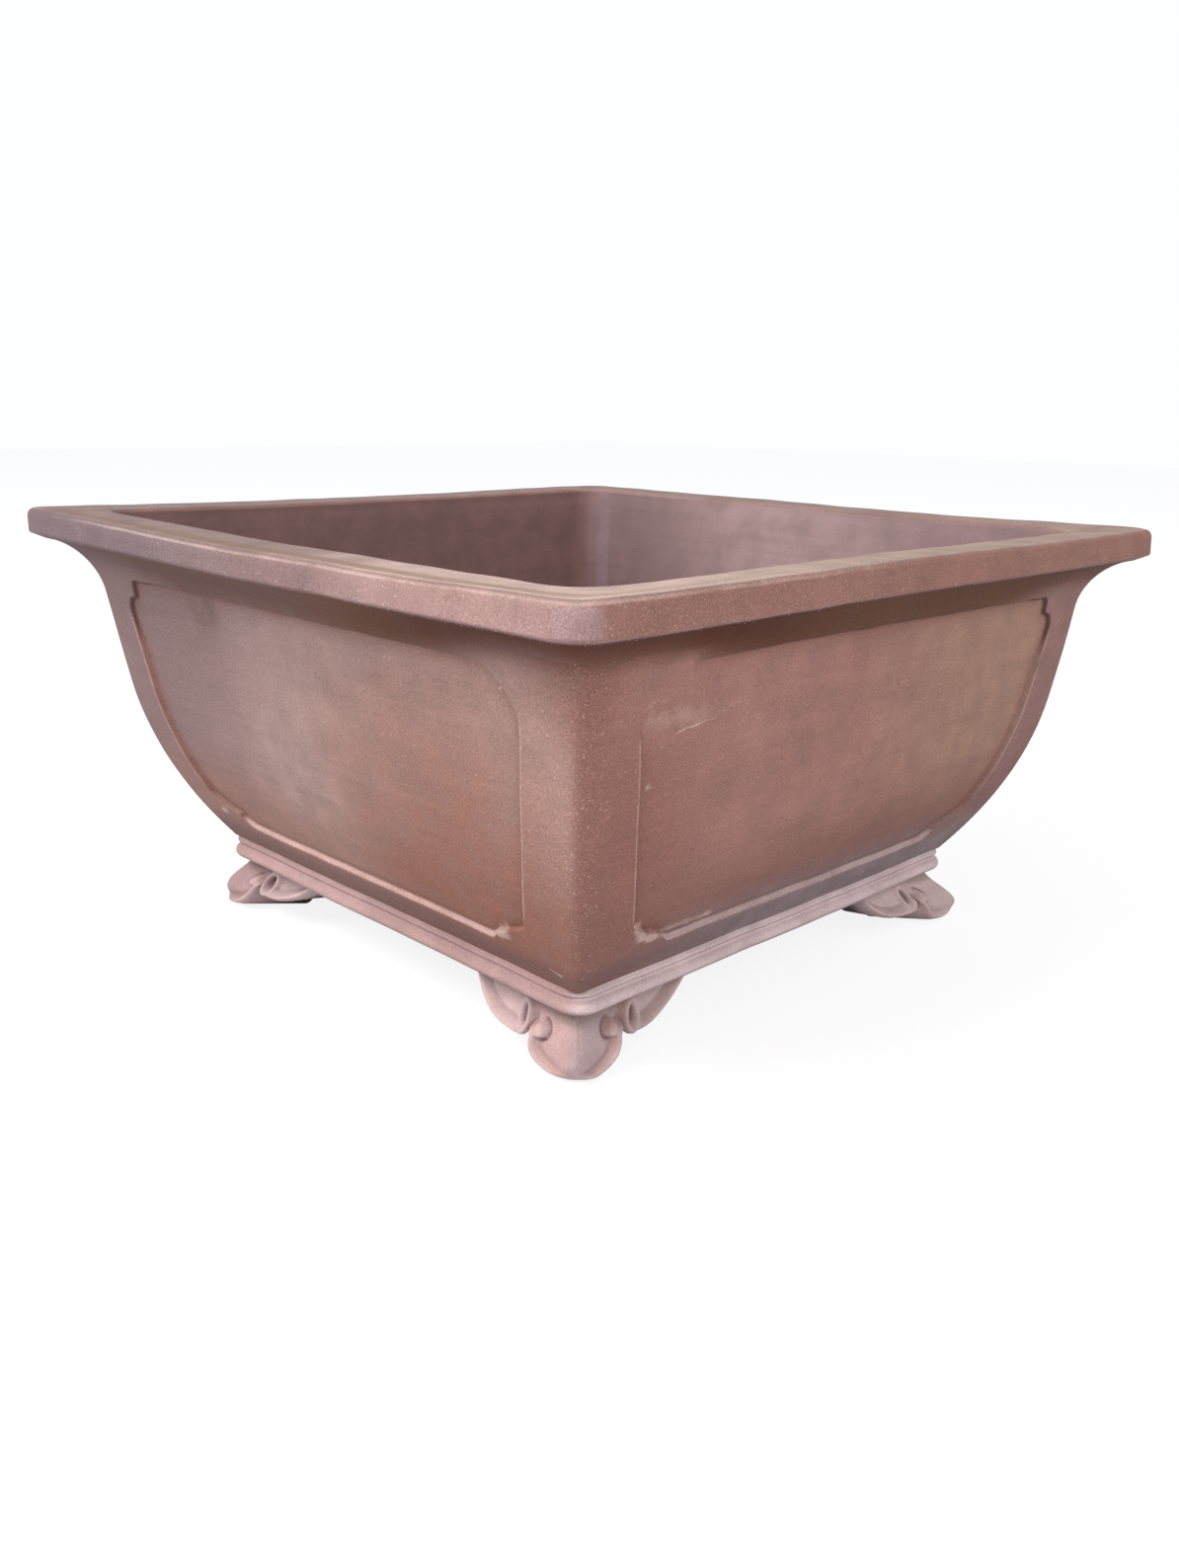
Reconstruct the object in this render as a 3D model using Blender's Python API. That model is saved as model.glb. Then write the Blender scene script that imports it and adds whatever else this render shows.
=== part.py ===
"""Square bonsai pot, slab built in unglazed stoneware.

Four mitred wall slabs stand on a floor slab. Four rim strips lie on the walls, four half-round
beads wrap the edge of the floor slab, four angle feet carry it, and a coil of clay fills each
inside corner. Metres, +Z up, origin on the ground under the middle of the pot, front facing -Y.
"""

import math

import bmesh
import bpy
from mathutils import Matrix, Vector

# Driving dimensions: the whole pot
RIM_SIDE = 0.400  # outside of the rim, both ways
POT_HEIGHT = 0.2015  # ground to the top of the rim
SEAM = 0.0003  # slip joint between two pieces

# Driving dimensions: rim strip
RIM_WIDTH = 0.030  # flat top, from the outside to the mouth
RIM_BAND = 0.0108  # upright outer band
RIM_DEPTH = 0.022  # whole strip, from the top to the joint with the wall
RIM_CORNER = 0.016  # plan radius of the outside corners
RIM_ROUND = 0.0025  # rounding of the two top edges
MOUTH_CORNER = 0.021  # plan radius of the corners of the mouth
LIP_WIDTH = 0.004  # underside between the band and the cove
LIP_FALL = 0.0022  # how far that underside falls on the way in
COVE_REACH = 0.0186  # cove under the rim, measured level
COVE_DROP = 0.024  # cove under the rim, measured upright

# Driving dimensions: wall slab
WALL_THICKNESS = 0.012  # measured level
WALL_LEAN = math.radians(8.95)  # lean of the straight upper wall
BELLY_TOP = 0.1215  # height where the wall starts to round under
BELLY_RADIUS = 0.192
WALL_CORNER_TOP = 0.011  # plan radius of the outside corners under the rim
WALL_CORNER_BASE = 0.003  # and at the floor

# Driving dimensions: sunk panel
PANEL_SINK = 0.0025  # measured level
STILE = 0.0295  # wall edge to the side of the panel
TOP_RAIL = 0.006  # rim joint to the panel
BOTTOM_RAIL = 0.019  # floor joint to the panel
TOP_CORNER_WIDTH = 0.022  # cusped corner, measured level
TOP_CORNER_HEIGHT = 0.0215
TOP_CUSP_IN = 0.014  # point of the cusp, from the side and from the top
TOP_CUSP_DOWN = 0.0085
BOTTOM_CORNER_WIDTH = 0.020
BOTTOM_CORNER_HEIGHT = 0.015
BOTTOM_CUSP_IN = 0.012
BOTTOM_CUSP_UP = 0.007
LOBE_BULGE = 0.0018  # how far each lobe of a corner swells past its chord

# Driving dimensions: floor slab, bead and drain holes
FLOOR_THICKNESS = 0.0118  # also the height of the bead
FLOOR_INSET = 0.0034  # how far the floor's edge is set back from the foot of the wall
BEAD_REACH = 0.0058
BEAD_GROOVE = 0.0008  # line cut along the bead near its top
DRAIN_DIAMETER = 0.030
DRAIN_SPACING = 0.110  # centre to centre

# Driving dimensions: angle foot
FOOT_HEIGHT = 0.0252
FOOT_NECK = 0.0018  # how far the foot's top is set back from the floor's edge
FOOT_THICKNESS = 0.016  # at the neck
TOE_FLARE = 0.0124  # how far the toe stands out past the neck
TOE_HEIGHT = 0.0085  # height of the widest part
TOE_ROUND = 0.008  # how far the toe draws in again at the ground
TOE_CORNER = 0.013  # plan radius of the toe at the ground
TIP_FLARE = 0.003  # flare left at the far tip of each wing
WING_LENGTH = 0.0735  # toe to wing tip
WING_LOW = 0.0475  # toe to the lowest point of the wing
WING_CLEAR = 0.007  # ground to the lowest point of the wing
NOTCH_PLACE = 0.0325  # toe to the notch beside the corner lobe
NOTCH_WIDTH = 0.003
NOTCH_HEIGHT = 0.0125  # ground to the top of the notch
LOBE_ROUND = 0.012  # lower rounding of the corner lobe
WING_POWER = 1.25  # how lean the wing's lower curve is, where 1 is a true oval

# Driving dimensions: inside corner coil
COIL_EDGE = 0.0006  # thickness left where the coil thins out on the wall

# How finely the curves are divided
WALL_ROWS = 18
CORNER_STEPS = 4
ROUND_STEPS = 3
COVE_STEPS = 5
BEAD_STEPS = 14
GROOVE_STEP = 11
LOBE_STEPS = 4
FOOT_STEPS = 7
DRAIN_STEPS = 28
SHARP_ANGLE = math.radians(35)  # edges bent more than this stay crisp
WELD = 1e-6

# Worked out from the driving dimensions
RIM_HALF = RIM_SIDE / 2
MOUTH_HALF = RIM_HALF - RIM_WIDTH
RIM_SEAM = POT_HEIGHT - RIM_DEPTH
COVE_TOP = POT_HEIGHT - RIM_BAND - LIP_FALL
NECK_HALF = RIM_HALF - LIP_WIDTH - COVE_REACH
FLOOR_TOP = FOOT_HEIGHT + FLOOR_THICKNESS
PANEL_TOP = RIM_SEAM - TOP_RAIL
PANEL_BOTTOM = FLOOR_TOP + BOTTOM_RAIL
MITRE_BACK = SEAM / math.sqrt(2)

SIDES = ("front", "right", "back", "left")
CORNERS = ("front_right", "back_right", "back_left", "front_left")


def between(low, high, steps):
    """Evenly spaced values from low to high, both included."""
    return [low + (high - low) * step / steps for step in range(steps + 1)]


def straight_half(height):
    """Half-width of the straight upper wall, carried on to any height."""
    return NECK_HALF + math.tan(WALL_LEAN) * (height - COVE_TOP)


def cove_swell(height):
    """How far the cove swells out past the straight wall at a height."""
    climb = (height - COVE_TOP + COVE_DROP) / COVE_DROP
    climb = min(max(climb, 0.0), 1.0)
    return COVE_REACH * (1 - math.sqrt(1 - climb * climb))


def outside(height):
    """Half-width of the outside of the wall: belly, straight wall and cove."""
    if height >= BELLY_TOP:
        return straight_half(height) + cove_swell(height)
    centre_half = straight_half(BELLY_TOP) - BELLY_RADIUS * math.cos(WALL_LEAN)
    centre_height = BELLY_TOP + BELLY_RADIUS * math.sin(WALL_LEAN)
    drop = centre_height - height
    return centre_half + math.sqrt(BELLY_RADIUS ** 2 - drop ** 2) + cove_swell(height)


def inside(height):
    """Half-width of the inside of the wall."""
    return outside(height) - WALL_THICKNESS


def wall_corner(height):
    """Plan radius of the wall's outside corner at a height."""
    climb = (height - FLOOR_TOP) / (RIM_SEAM - FLOOR_TOP)
    return WALL_CORNER_BASE + (WALL_CORNER_TOP - WALL_CORNER_BASE) * climb


FLOOR_HALF = outside(FLOOR_TOP) - FLOOR_INSET


def mesh_from(bm, name):
    """Closes off a bmesh: doubles welded, faces out, smooth with sharp edges kept."""
    bmesh.ops.remove_doubles(bm, verts=bm.verts, dist=WELD)
    bmesh.ops.recalc_face_normals(bm, faces=bm.faces)
    mesh = bpy.data.meshes.new(name)
    bm.to_mesh(mesh)
    bm.free()
    mesh.shade_smooth()
    mesh.set_sharp_from_angle(angle=SHARP_ANGLE)
    return mesh


def skin_between(bm, rings, closed):
    """Faces between each ring of points and the next, point by point."""
    after = rings[1:] + rings[:1] if closed else rings[1:]
    for ring, follower in zip(rings, after):
        for i in range(len(ring) - 1):
            bm.faces.new((ring[i], ring[i + 1], follower[i + 1], follower[i]))


def prism(outline, low, high, place):
    """A closed prism: place(point, depth) gives the corner of an outline point at a depth."""
    bm = bmesh.new()
    near = [bm.verts.new(place(point, low)) for point in outline]
    far = [bm.verts.new(place(point, high)) for point in outline]
    bm.faces.new(near)
    bm.faces.new(far)
    skin_between(bm, [near + near[:1], far + far[:1]], closed=False)
    return mesh_from(bm, "prism")


def combined(mesh, cutter_mesh, operation):
    """The mesh after one Boolean with another mesh."""
    body = bpy.data.objects.new("body", mesh)
    cutter = bpy.data.objects.new("cutter", cutter_mesh)
    for helper in (body, cutter):
        bpy.context.scene.collection.objects.link(helper)
    boolean = body.modifiers.new("Boolean", "BOOLEAN")
    boolean.operation = operation
    boolean.object = cutter
    evaluated = body.evaluated_get(bpy.context.evaluated_depsgraph_get())
    result = bpy.data.meshes.new_from_object(evaluated)
    bpy.data.objects.remove(body)
    bpy.data.objects.remove(cutter)
    return result


def corner_to_corner(half, height, radius):
    """Points along the front side at one height, from the left mitre to the right one."""
    centre = half - radius
    right = []
    for angle in between(-math.pi / 2, -math.pi / 4, CORNER_STEPS):
        x = centre + radius * math.cos(angle) - MITRE_BACK
        right.append((x, -centre + radius * math.sin(angle), height))
    left = [(-x, y, z) for x, y, z in reversed(right)]
    return left + right


def side_strip(section, name):
    """A closed section of (half-width, height, plan radius) swept along the front side."""
    bm = bmesh.new()
    rings = []
    for half, height, radius in section:
        rings.append([bm.verts.new(point) for point in corner_to_corner(half, height, radius)])
    skin_between(bm, rings, closed=True)
    bm.faces.new([ring[0] for ring in rings])
    bm.faces.new([ring[-1] for ring in rings])
    return mesh_from(bm, name)


def rim_section():
    """The rim strip: flat top, upright band, lip and cove, and the joint with the wall."""
    section = []
    for angle in between(math.pi / 2, 0, ROUND_STEPS):
        reach = RIM_ROUND * (1 - math.cos(angle))
        height = POT_HEIGHT - RIM_ROUND * (1 - math.sin(angle))
        section.append((RIM_HALF - reach, height, RIM_CORNER - reach))
    section.append((RIM_HALF, POT_HEIGHT - RIM_BAND, RIM_CORNER))
    for height in between(COVE_TOP, RIM_SEAM, COVE_STEPS):
        share = (height - RIM_SEAM) / (COVE_TOP - RIM_SEAM)
        radius = wall_corner(RIM_SEAM) + (RIM_CORNER - LIP_WIDTH - wall_corner(RIM_SEAM)) * share
        section.append((outside(height), height, radius))
    section.append((inside(RIM_SEAM), RIM_SEAM, MOUTH_CORNER))
    for angle in between(0, math.pi / 2, ROUND_STEPS):
        reach = RIM_ROUND * (1 - math.cos(angle))
        height = POT_HEIGHT - RIM_ROUND * (1 - math.sin(angle))
        section.append((MOUTH_HALF + reach, height, MOUTH_CORNER + reach))
    return section


def wall_heights():
    """The levels at which the wall's curve is sampled, a seam clear of floor and rim."""
    return between(FLOOR_TOP + SEAM, RIM_SEAM - SEAM, WALL_ROWS)


def wall_section():
    """The wall slab: its outside going up, then its inside coming down."""
    heights = wall_heights()
    outer = [(outside(height), height, wall_corner(height)) for height in heights]
    inner = [(inside(height), height, 0.0) for height in reversed(heights)]
    return outer + inner


def lobe(start, end):
    """A curve from start to end that swells to the left of the way it runs."""
    run = end[0] - start[0]
    rise = end[1] - start[1]
    chord = math.hypot(run, rise)
    points = []
    for share in between(0, 1, LOBE_STEPS):
        swell = 4 * LOBE_BULGE * share * (1 - share) / chord
        points.append((start[0] + run * share - rise * swell, start[1] + rise * share + run * swell))
    return points


def panel_side(height):
    """Distance of the panel's side from the middle of the wall at a height."""
    return outside(height) - STILE


def panel_outline():
    """The panel from the front, as (x, height): straight edges with a cusp in each corner."""
    top_side = panel_side(PANEL_TOP)
    bottom_side = panel_side(PANEL_BOTTOM)
    side_top = PANEL_TOP - TOP_CORNER_HEIGHT
    side_bottom = PANEL_BOTTOM + BOTTOM_CORNER_HEIGHT
    top_cusp = (top_side - TOP_CUSP_IN, PANEL_TOP - TOP_CUSP_DOWN)
    bottom_cusp = (bottom_side - BOTTOM_CUSP_IN, PANEL_BOTTOM + BOTTOM_CUSP_UP)
    right = lobe((top_side - TOP_CORNER_WIDTH, PANEL_TOP), top_cusp)
    right += lobe(top_cusp, (panel_side(side_top), side_top))[1:]
    for height in between(side_top, side_bottom, WALL_ROWS // 2)[1:]:
        right.append((panel_side(height), height))
    right += lobe((panel_side(side_bottom), side_bottom), bottom_cusp)[1:]
    right += lobe(bottom_cusp, (bottom_side - BOTTOM_CORNER_WIDTH, PANEL_BOTTOM))[1:]
    left = [(-x, height) for x, height in reversed(right)]
    return right + left


def panel_cutter():
    """The clay taken out of the wall: the outline, cut to a skin that follows the wall."""
    heights = wall_heights()
    skin = [(outside(height) - PANEL_SINK, height) for height in heights]
    skin += [(outside(height) + PANEL_SINK, height) for height in reversed(heights)]
    sheet = prism(skin, -RIM_HALF, RIM_HALF, lambda point, x: (x, -point[0], point[1]))
    block = prism(panel_outline(), -RIM_SIDE, 0.0, lambda point, y: (point[0], y, point[1]))
    return combined(block, sheet, "INTERSECT")


def wall_mesh():
    """A wall slab with its panel sunk in."""
    mesh = combined(side_strip(wall_section(), "slab"), panel_cutter(), "DIFFERENCE")
    mesh.name = "wall"
    return mesh


def bead_section():
    """The half-round bead, with a line cut along it, standing against the floor's edge."""
    back = FLOOR_HALF + SEAM
    middle = FOOT_HEIGHT + FLOOR_THICKNESS / 2
    section = []
    for step, angle in enumerate(between(-math.pi / 2, math.pi / 2, BEAD_STEPS)):
        reach = BEAD_REACH * math.cos(angle)
        if step == GROOVE_STEP:
            reach -= BEAD_GROOVE
        height = middle + FLOOR_THICKNESS / 2 * math.sin(angle)
        section.append((back + reach, height, WALL_CORNER_BASE + SEAM + reach))
    return section


def floor_mesh():
    """The floor slab, with its four drain holes."""
    outline = []
    for quarter in range(4):
        centre = FLOOR_HALF - WALL_CORNER_BASE
        turn = Matrix.Rotation(quarter * math.pi / 2, 2)
        for angle in between(0, math.pi / 2, CORNER_STEPS):
            x = centre + WALL_CORNER_BASE * math.cos(angle)
            y = centre + WALL_CORNER_BASE * math.sin(angle)
            outline.append(turn @ Vector((x, y)))
    mesh = prism(outline, FOOT_HEIGHT, FLOOR_TOP, lambda point, z: (point[0], point[1], z))
    for column in (-1, 1):
        for row in (-1, 1):
            bm = bmesh.new()
            bmesh.ops.create_cone(
                bm,
                cap_ends=True,
                segments=DRAIN_STEPS,
                radius1=DRAIN_DIAMETER / 2,
                radius2=DRAIN_DIAMETER / 2,
                depth=3 * FLOOR_THICKNESS,
                matrix=Matrix.Translation(
                    (column * DRAIN_SPACING / 2, row * DRAIN_SPACING / 2, FLOOR_TOP)
                ),
            )
            mesh = combined(mesh, mesh_from(bm, "drain"), "DIFFERENCE")
    mesh.name = "floor"
    return mesh


def foot_flare(height):
    """How far the foot's outside stands out past its neck, at the toe, at a height."""
    if height >= TOE_HEIGHT:
        fall = (FOOT_HEIGHT - height) / (FOOT_HEIGHT - TOE_HEIGHT)
        return TOE_FLARE * fall * fall * (3 - 2 * fall)
    under = 1 - height / TOE_HEIGHT
    return TOE_FLARE - TOE_ROUND * (1 - math.sqrt(1 - under * under))


def curve_from(centre, run, rise, start, power):
    """Points on a quarter of an oval about a centre, onwards from an angle; power 1 is round."""
    points = []
    for angle in between(start, start + math.pi / 2, FOOT_STEPS):
        across = math.copysign(abs(math.cos(angle)) ** power, math.cos(angle))
        down = math.copysign(abs(math.sin(angle)) ** power, math.sin(angle))
        points.append((centre[0] + run * across, centre[1] + rise * down))
    return points


def foot_outline(toe):
    """The foot from the front, as (x, height): wing, notch and corner lobe."""
    tip = toe - WING_LENGTH
    low = toe - WING_LOW
    wing_end = toe - NOTCH_PLACE - NOTCH_WIDTH / 2
    lobe_side = toe - NOTCH_PLACE + NOTCH_WIDTH / 2
    clear = FOOT_HEIGHT
    quarter = math.pi / 2
    points = [(toe + clear, FOOT_HEIGHT + clear), (tip, FOOT_HEIGHT + clear)]
    wing_fall = FOOT_HEIGHT - WING_CLEAR
    points += curve_from((low, FOOT_HEIGHT), low - tip, wing_fall, 2 * quarter, WING_POWER)
    wing_rise = NOTCH_HEIGHT - WING_CLEAR
    points += curve_from((low, NOTCH_HEIGHT), wing_end - low, wing_rise, 3 * quarter, 1.0)[1:]
    lobe_centre = (lobe_side + LOBE_ROUND, LOBE_ROUND)
    points += curve_from(lobe_centre, LOBE_ROUND, LOBE_ROUND, 2 * quarter, 1.0)
    points += [(lobe_side + LOBE_ROUND, -clear), (toe + clear, -clear)]
    return points


def wing_mesh(neck):
    """Half of the front right foot: from the mitre along the front to the wing's tip."""
    toe = neck + TOE_FLARE
    tip = toe - WING_LENGTH
    heel = neck - FOOT_THICKNESS
    top = FOOT_HEIGHT - SEAM
    bm = bmesh.new()
    rings = []
    for height in between(0, top, 2 * FOOT_STEPS):
        flare = foot_flare(height)
        radius = TOE_CORNER + (WALL_CORNER_BASE - TOE_CORNER) * height / FOOT_HEIGHT
        centre = neck + flare - radius
        points = []
        for angle in between(-math.pi / 4, -math.pi / 2, CORNER_STEPS):
            x = centre + radius * math.cos(angle)
            points.append((x, -centre + radius * math.sin(angle), height))
        points.append((tip, -neck - flare * TIP_FLARE / TOE_FLARE, height))
        rings.append([bm.verts.new(point) for point in points])
    for height in (top, 0):
        points = [(heel, -heel, height)] * (CORNER_STEPS + 1) + [(tip, -heel, height)]
        rings.append([bm.verts.new(point) for point in points])
    skin_between(bm, rings, closed=True)
    bm.faces.new([ring[0] for ring in rings])
    bm.faces.new([ring[-1] for ring in rings])
    block = prism(foot_outline(toe), -RIM_SIDE, 0.0, lambda point, y: (point[0], y, point[1]))
    return combined(mesh_from(bm, "wing"), block, "INTERSECT")


def foot_mesh():
    """The front right foot: its front wing and the same wing mirrored on the mitre."""
    bm = bmesh.new()
    bm.from_mesh(wing_mesh(FLOOR_HALF - FOOT_NECK))
    mitre = [face for face in bm.faces if all(abs(v.co.x + v.co.y) < WELD for v in face.verts)]
    bmesh.ops.delete(bm, geom=mitre, context="FACES_ONLY")
    copy = bmesh.ops.duplicate(bm, geom=list(bm.verts) + list(bm.edges) + list(bm.faces))
    mirrored = [item for item in copy["geom"] if isinstance(item, bmesh.types.BMVert)]
    swap = Matrix(((0, -1, 0, 0), (-1, 0, 0, 0), (0, 0, 1, 0), (0, 0, 0, 1)))
    bmesh.ops.transform(bm, matrix=swap, verts=mirrored)
    return mesh_from(bm, "foot")


def coil_mesh():
    """The front right inside corner's coil: a hollow fillet from the floor to the rim."""
    bm = bmesh.new()
    rings = []
    for height in wall_heights():
        back = inside(height) - SEAM
        centre = inside(height) - MOUTH_CORNER
        radius = back - COIL_EDGE - centre
        points = [(centre, -back), (back, -back), (back, -centre)]
        for angle in between(0, -math.pi / 2, 2 * CORNER_STEPS):
            points.append((centre + radius * math.cos(angle), -centre + radius * math.sin(angle)))
        rings.append([bm.verts.new((x, y, height)) for x, y in points])
    bm.faces.new(rings[0])
    bm.faces.new(rings[-1])
    skin_between(bm, [ring + ring[:1] for ring in rings], closed=False)
    return mesh_from(bm, "coil")


def clay(name, colour, roughness):
    """Fired clay: the colour is an sRGB hex number."""
    linear = []
    for shift in (16, 8, 0):
        channel = (colour >> shift & 255) / 255
        linear.append(channel / 12.92 if channel <= 0.04045 else ((channel + 0.055) / 1.055) ** 2.4)
    material = bpy.data.materials.new(name)
    material.use_nodes = True
    shader = material.node_tree.nodes["Principled BSDF"]
    shader.inputs["Base Color"].default_value = (*linear, 1)
    shader.inputs["Roughness"].default_value = roughness
    shader.inputs["Metallic"].default_value = 0
    return material


def place(name, mesh, material, quarter, parent):
    """One piece, turned by quarter turns about the middle of the pot."""
    mesh.materials.clear()
    mesh.materials.append(material)
    piece = bpy.data.objects.new(name, mesh)
    piece.rotation_euler.z = quarter * math.pi / 2
    piece.parent = parent
    bpy.context.scene.collection.objects.link(piece)


def build():
    for old in list(bpy.data.objects):
        bpy.data.objects.remove(old)
    pot = bpy.data.objects.new("pot", None)
    bpy.context.scene.collection.objects.link(pot)

    by_side = (
        ("wall", wall_mesh(), clay("wall clay", 0xA27A6F, 0.8)),
        ("rim_strip", side_strip(rim_section(), "rim"), clay("rim clay", 0xAD8B84, 0.85)),
        ("base_bead", side_strip(bead_section(), "bead"), clay("bead clay", 0xBE9F9C, 0.85)),
    )
    by_corner = (
        ("foot", foot_mesh(), clay("foot clay", 0xC3A5A2, 0.85)),
        ("corner_coil", coil_mesh(), clay("coil clay", 0x86706F, 0.85)),
    )
    for quarter in range(4):
        for name, mesh, material in by_side:
            place(name + "_" + SIDES[quarter], mesh, material, quarter, pot)
        for name, mesh, material in by_corner:
            place(name + "_" + CORNERS[quarter], mesh, material, quarter, pot)
    place("floor_slab", floor_mesh(), clay("floor clay", 0x8A6B63, 0.9), 0, pot)


build()
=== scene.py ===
# %% [markdown]
# # A square bonsai pot in unglazed stoneware
# The pot is slab built: mitred walls on a floor slab, a broad rim, a bead round the base and
# four scrolled feet, all luted together and fired. The plain solids are loaded first. Each later
# step then makes one piece as the potter left it, in metres, in the same place as its solid.

import math

import bmesh
import bpy
import numpy as np
from mathutils import Matrix, Vector, geometry


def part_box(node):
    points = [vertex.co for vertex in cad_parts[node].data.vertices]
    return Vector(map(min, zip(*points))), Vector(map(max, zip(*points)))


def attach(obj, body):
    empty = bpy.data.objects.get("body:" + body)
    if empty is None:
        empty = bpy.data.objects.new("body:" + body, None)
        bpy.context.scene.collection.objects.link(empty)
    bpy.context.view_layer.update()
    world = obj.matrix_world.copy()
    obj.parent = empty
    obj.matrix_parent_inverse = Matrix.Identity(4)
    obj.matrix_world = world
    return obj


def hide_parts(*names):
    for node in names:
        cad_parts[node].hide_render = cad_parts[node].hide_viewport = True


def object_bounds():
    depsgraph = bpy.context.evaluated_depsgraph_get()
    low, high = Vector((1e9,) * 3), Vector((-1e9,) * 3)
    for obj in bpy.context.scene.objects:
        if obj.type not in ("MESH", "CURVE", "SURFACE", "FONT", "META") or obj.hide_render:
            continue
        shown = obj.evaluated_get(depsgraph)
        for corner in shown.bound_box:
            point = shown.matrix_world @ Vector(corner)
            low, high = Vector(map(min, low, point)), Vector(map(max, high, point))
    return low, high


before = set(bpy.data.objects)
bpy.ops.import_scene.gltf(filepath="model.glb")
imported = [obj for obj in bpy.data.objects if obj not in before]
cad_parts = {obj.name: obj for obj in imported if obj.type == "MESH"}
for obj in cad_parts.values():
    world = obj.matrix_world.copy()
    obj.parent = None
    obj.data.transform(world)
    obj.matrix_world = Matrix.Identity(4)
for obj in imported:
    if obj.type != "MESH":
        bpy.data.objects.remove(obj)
cad_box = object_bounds()
print("solids:", len(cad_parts), "box:", [round(side * 1000) for side in cad_box[1] - cad_box[0]], "mm")

# %% [markdown]
# ## Sizes
# Heights and half-widths are read from the solids, so that the fine pieces meet them. What a
# box can't tell, such as a lean or a radius, is written here as it stands on the drawing.

# %% Sizes
MM = 0.001
SIDES = ("front", "right", "back", "left")
CORNERS = ("front_right", "back_right", "back_left", "front_left")

POT_TOP = cad_box[1].z
RIM_HALF = cad_box[1].x
RIM_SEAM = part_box("rim_strip_front")[0].z
FLOOR_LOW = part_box("floor_slab")[0].z
FLOOR_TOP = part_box("floor_slab")[1].z
FLOOR_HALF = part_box("floor_slab")[1].x

RIM_WIDTH = 30 * MM
RIM_BAND = 10.8 * MM
RIM_CORNER = 16 * MM
MOUTH_CORNER = 21 * MM
LIP_WIDTH = 4 * MM
LIP_FALL = 2.2 * MM
COVE_REACH = 18.6 * MM
COVE_DROP = 24 * MM
WALL_THICKNESS = 12 * MM
WALL_LEAN = math.radians(8.95)
BELLY_TOP = 121.5 * MM
BELLY_RADIUS = 192 * MM
WALL_CORNER_TOP = 11 * MM
WALL_CORNER_BASE = 3 * MM
MOUTH_FLARE = 140 * MM

MOUTH_HALF = RIM_HALF - RIM_WIDTH
COVE_TOP = POT_TOP - RIM_BAND - LIP_FALL
NECK_HALF = RIM_HALF - LIP_WIDTH - COVE_REACH
print("rim", round(2 * RIM_HALF / MM), "mm square, floor", round(2 * FLOOR_HALF / MM), "mm square")

# %% [markdown]
# ## The pot's outline
# Every piece follows one outline: a belly that rounds under, a straight leaning wall and a cove
# below the rim. It could be a drawn curve, but a formula can be asked at any height, for one value
# or for many, and all the pieces that ask it then fit each other.


# %% Outline
def outside(height):
    """Half-width of the outside of the wall at a height."""
    straight = NECK_HALF + math.tan(WALL_LEAN) * (height - COVE_TOP)
    belly_edge = NECK_HALF + math.tan(WALL_LEAN) * (BELLY_TOP - COVE_TOP)
    drop = np.maximum(BELLY_TOP + BELLY_RADIUS * math.sin(WALL_LEAN) - height, 0)
    belly = belly_edge - BELLY_RADIUS * math.cos(WALL_LEAN) + np.sqrt(BELLY_RADIUS ** 2 - drop ** 2)
    climb = np.clip((height - COVE_TOP + COVE_DROP) / COVE_DROP, 0, 1)
    cove = COVE_REACH * (1 - np.sqrt(1 - climb ** 2))
    return np.where(height < BELLY_TOP, belly, straight) + cove


def inside(height):
    """Half-width of the inside of the wall at a height, which runs smoothly up to the mouth."""
    below_cove = np.minimum(height, COVE_TOP - COVE_DROP)
    lean = math.tan(WALL_LEAN)
    wall = outside(below_cove) + lean * (height - below_cove) - WALL_THICKNESS
    top = NECK_HALF + lean * (POT_TOP - COVE_TOP) - WALL_THICKNESS
    climb = np.clip((height - MOUTH_FLARE) / (POT_TOP - MOUTH_FLARE), 0, 1)
    return wall + (MOUTH_HALF - top) * climb ** 2


def wall_corner(height):
    """Plan radius of the wall's outside corner, which sharpens towards the base."""
    climb = (height - FLOOR_TOP) / (RIM_SEAM - FLOOR_TOP)
    return WALL_CORNER_BASE + (WALL_CORNER_TOP - WALL_CORNER_BASE) * climb


print("wall half-width:", [round(float(outside(z)) / MM, 1) for z in (FLOOR_TOP, BELLY_TOP, RIM_SEAM)], "mm")

# %% [markdown]
# ## Made by hand
# No slab is flat and no fired pot is square. A Displace modifier on each piece would open the
# joints, so one function bends every finished point a little, by its place alone, and neighbours
# stay joined. Slow waves stand for the slabs' own bow, short ones for the potter's strokes. Each
# corner of the rim has a warp of its own, the rim's right side tips inwards, and the toes of the
# feet stand a little out of place.

# %% Hand-made bends
# Waves in the clay: how far they stand out, and how long they are.
SLAB_WAVE = (0.35 * MM, 170 * MM)
STROKE_WAVE = (0.10 * MM, 38 * MM)
WAVES_ADDED = 8
WARP_REACH = 120 * MM
WARP_FOOT = 110 * MM
# Each corner, by the signs of its x and y, and how far it moved in x, y and z.
RIM_WARPS = {
    (-1, -1): (0.0, 0.0, 2.4 * MM),
    (1, -1): (-1.4 * MM, 1.4 * MM, 0.2 * MM),
    (1, 1): (-3.0 * MM, -3.0 * MM, 0.0),
    (-1, 1): (0.0, 0.0, 0.8 * MM),
}
RIM_TILT = 1.9 * MM
TILT_FROM = (90 * MM, 195 * MM)
FOOT_SHIFTS = {
    (1, -1): (-0.7 * MM, -0.7 * MM, 0.0),
    (1, 1): (1.5 * MM, 1.5 * MM, 0.0),
    (-1, -1): (1.0 * MM, 0.6 * MM, 0.0),
}
SHIFT_RISE = 1.6


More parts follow.
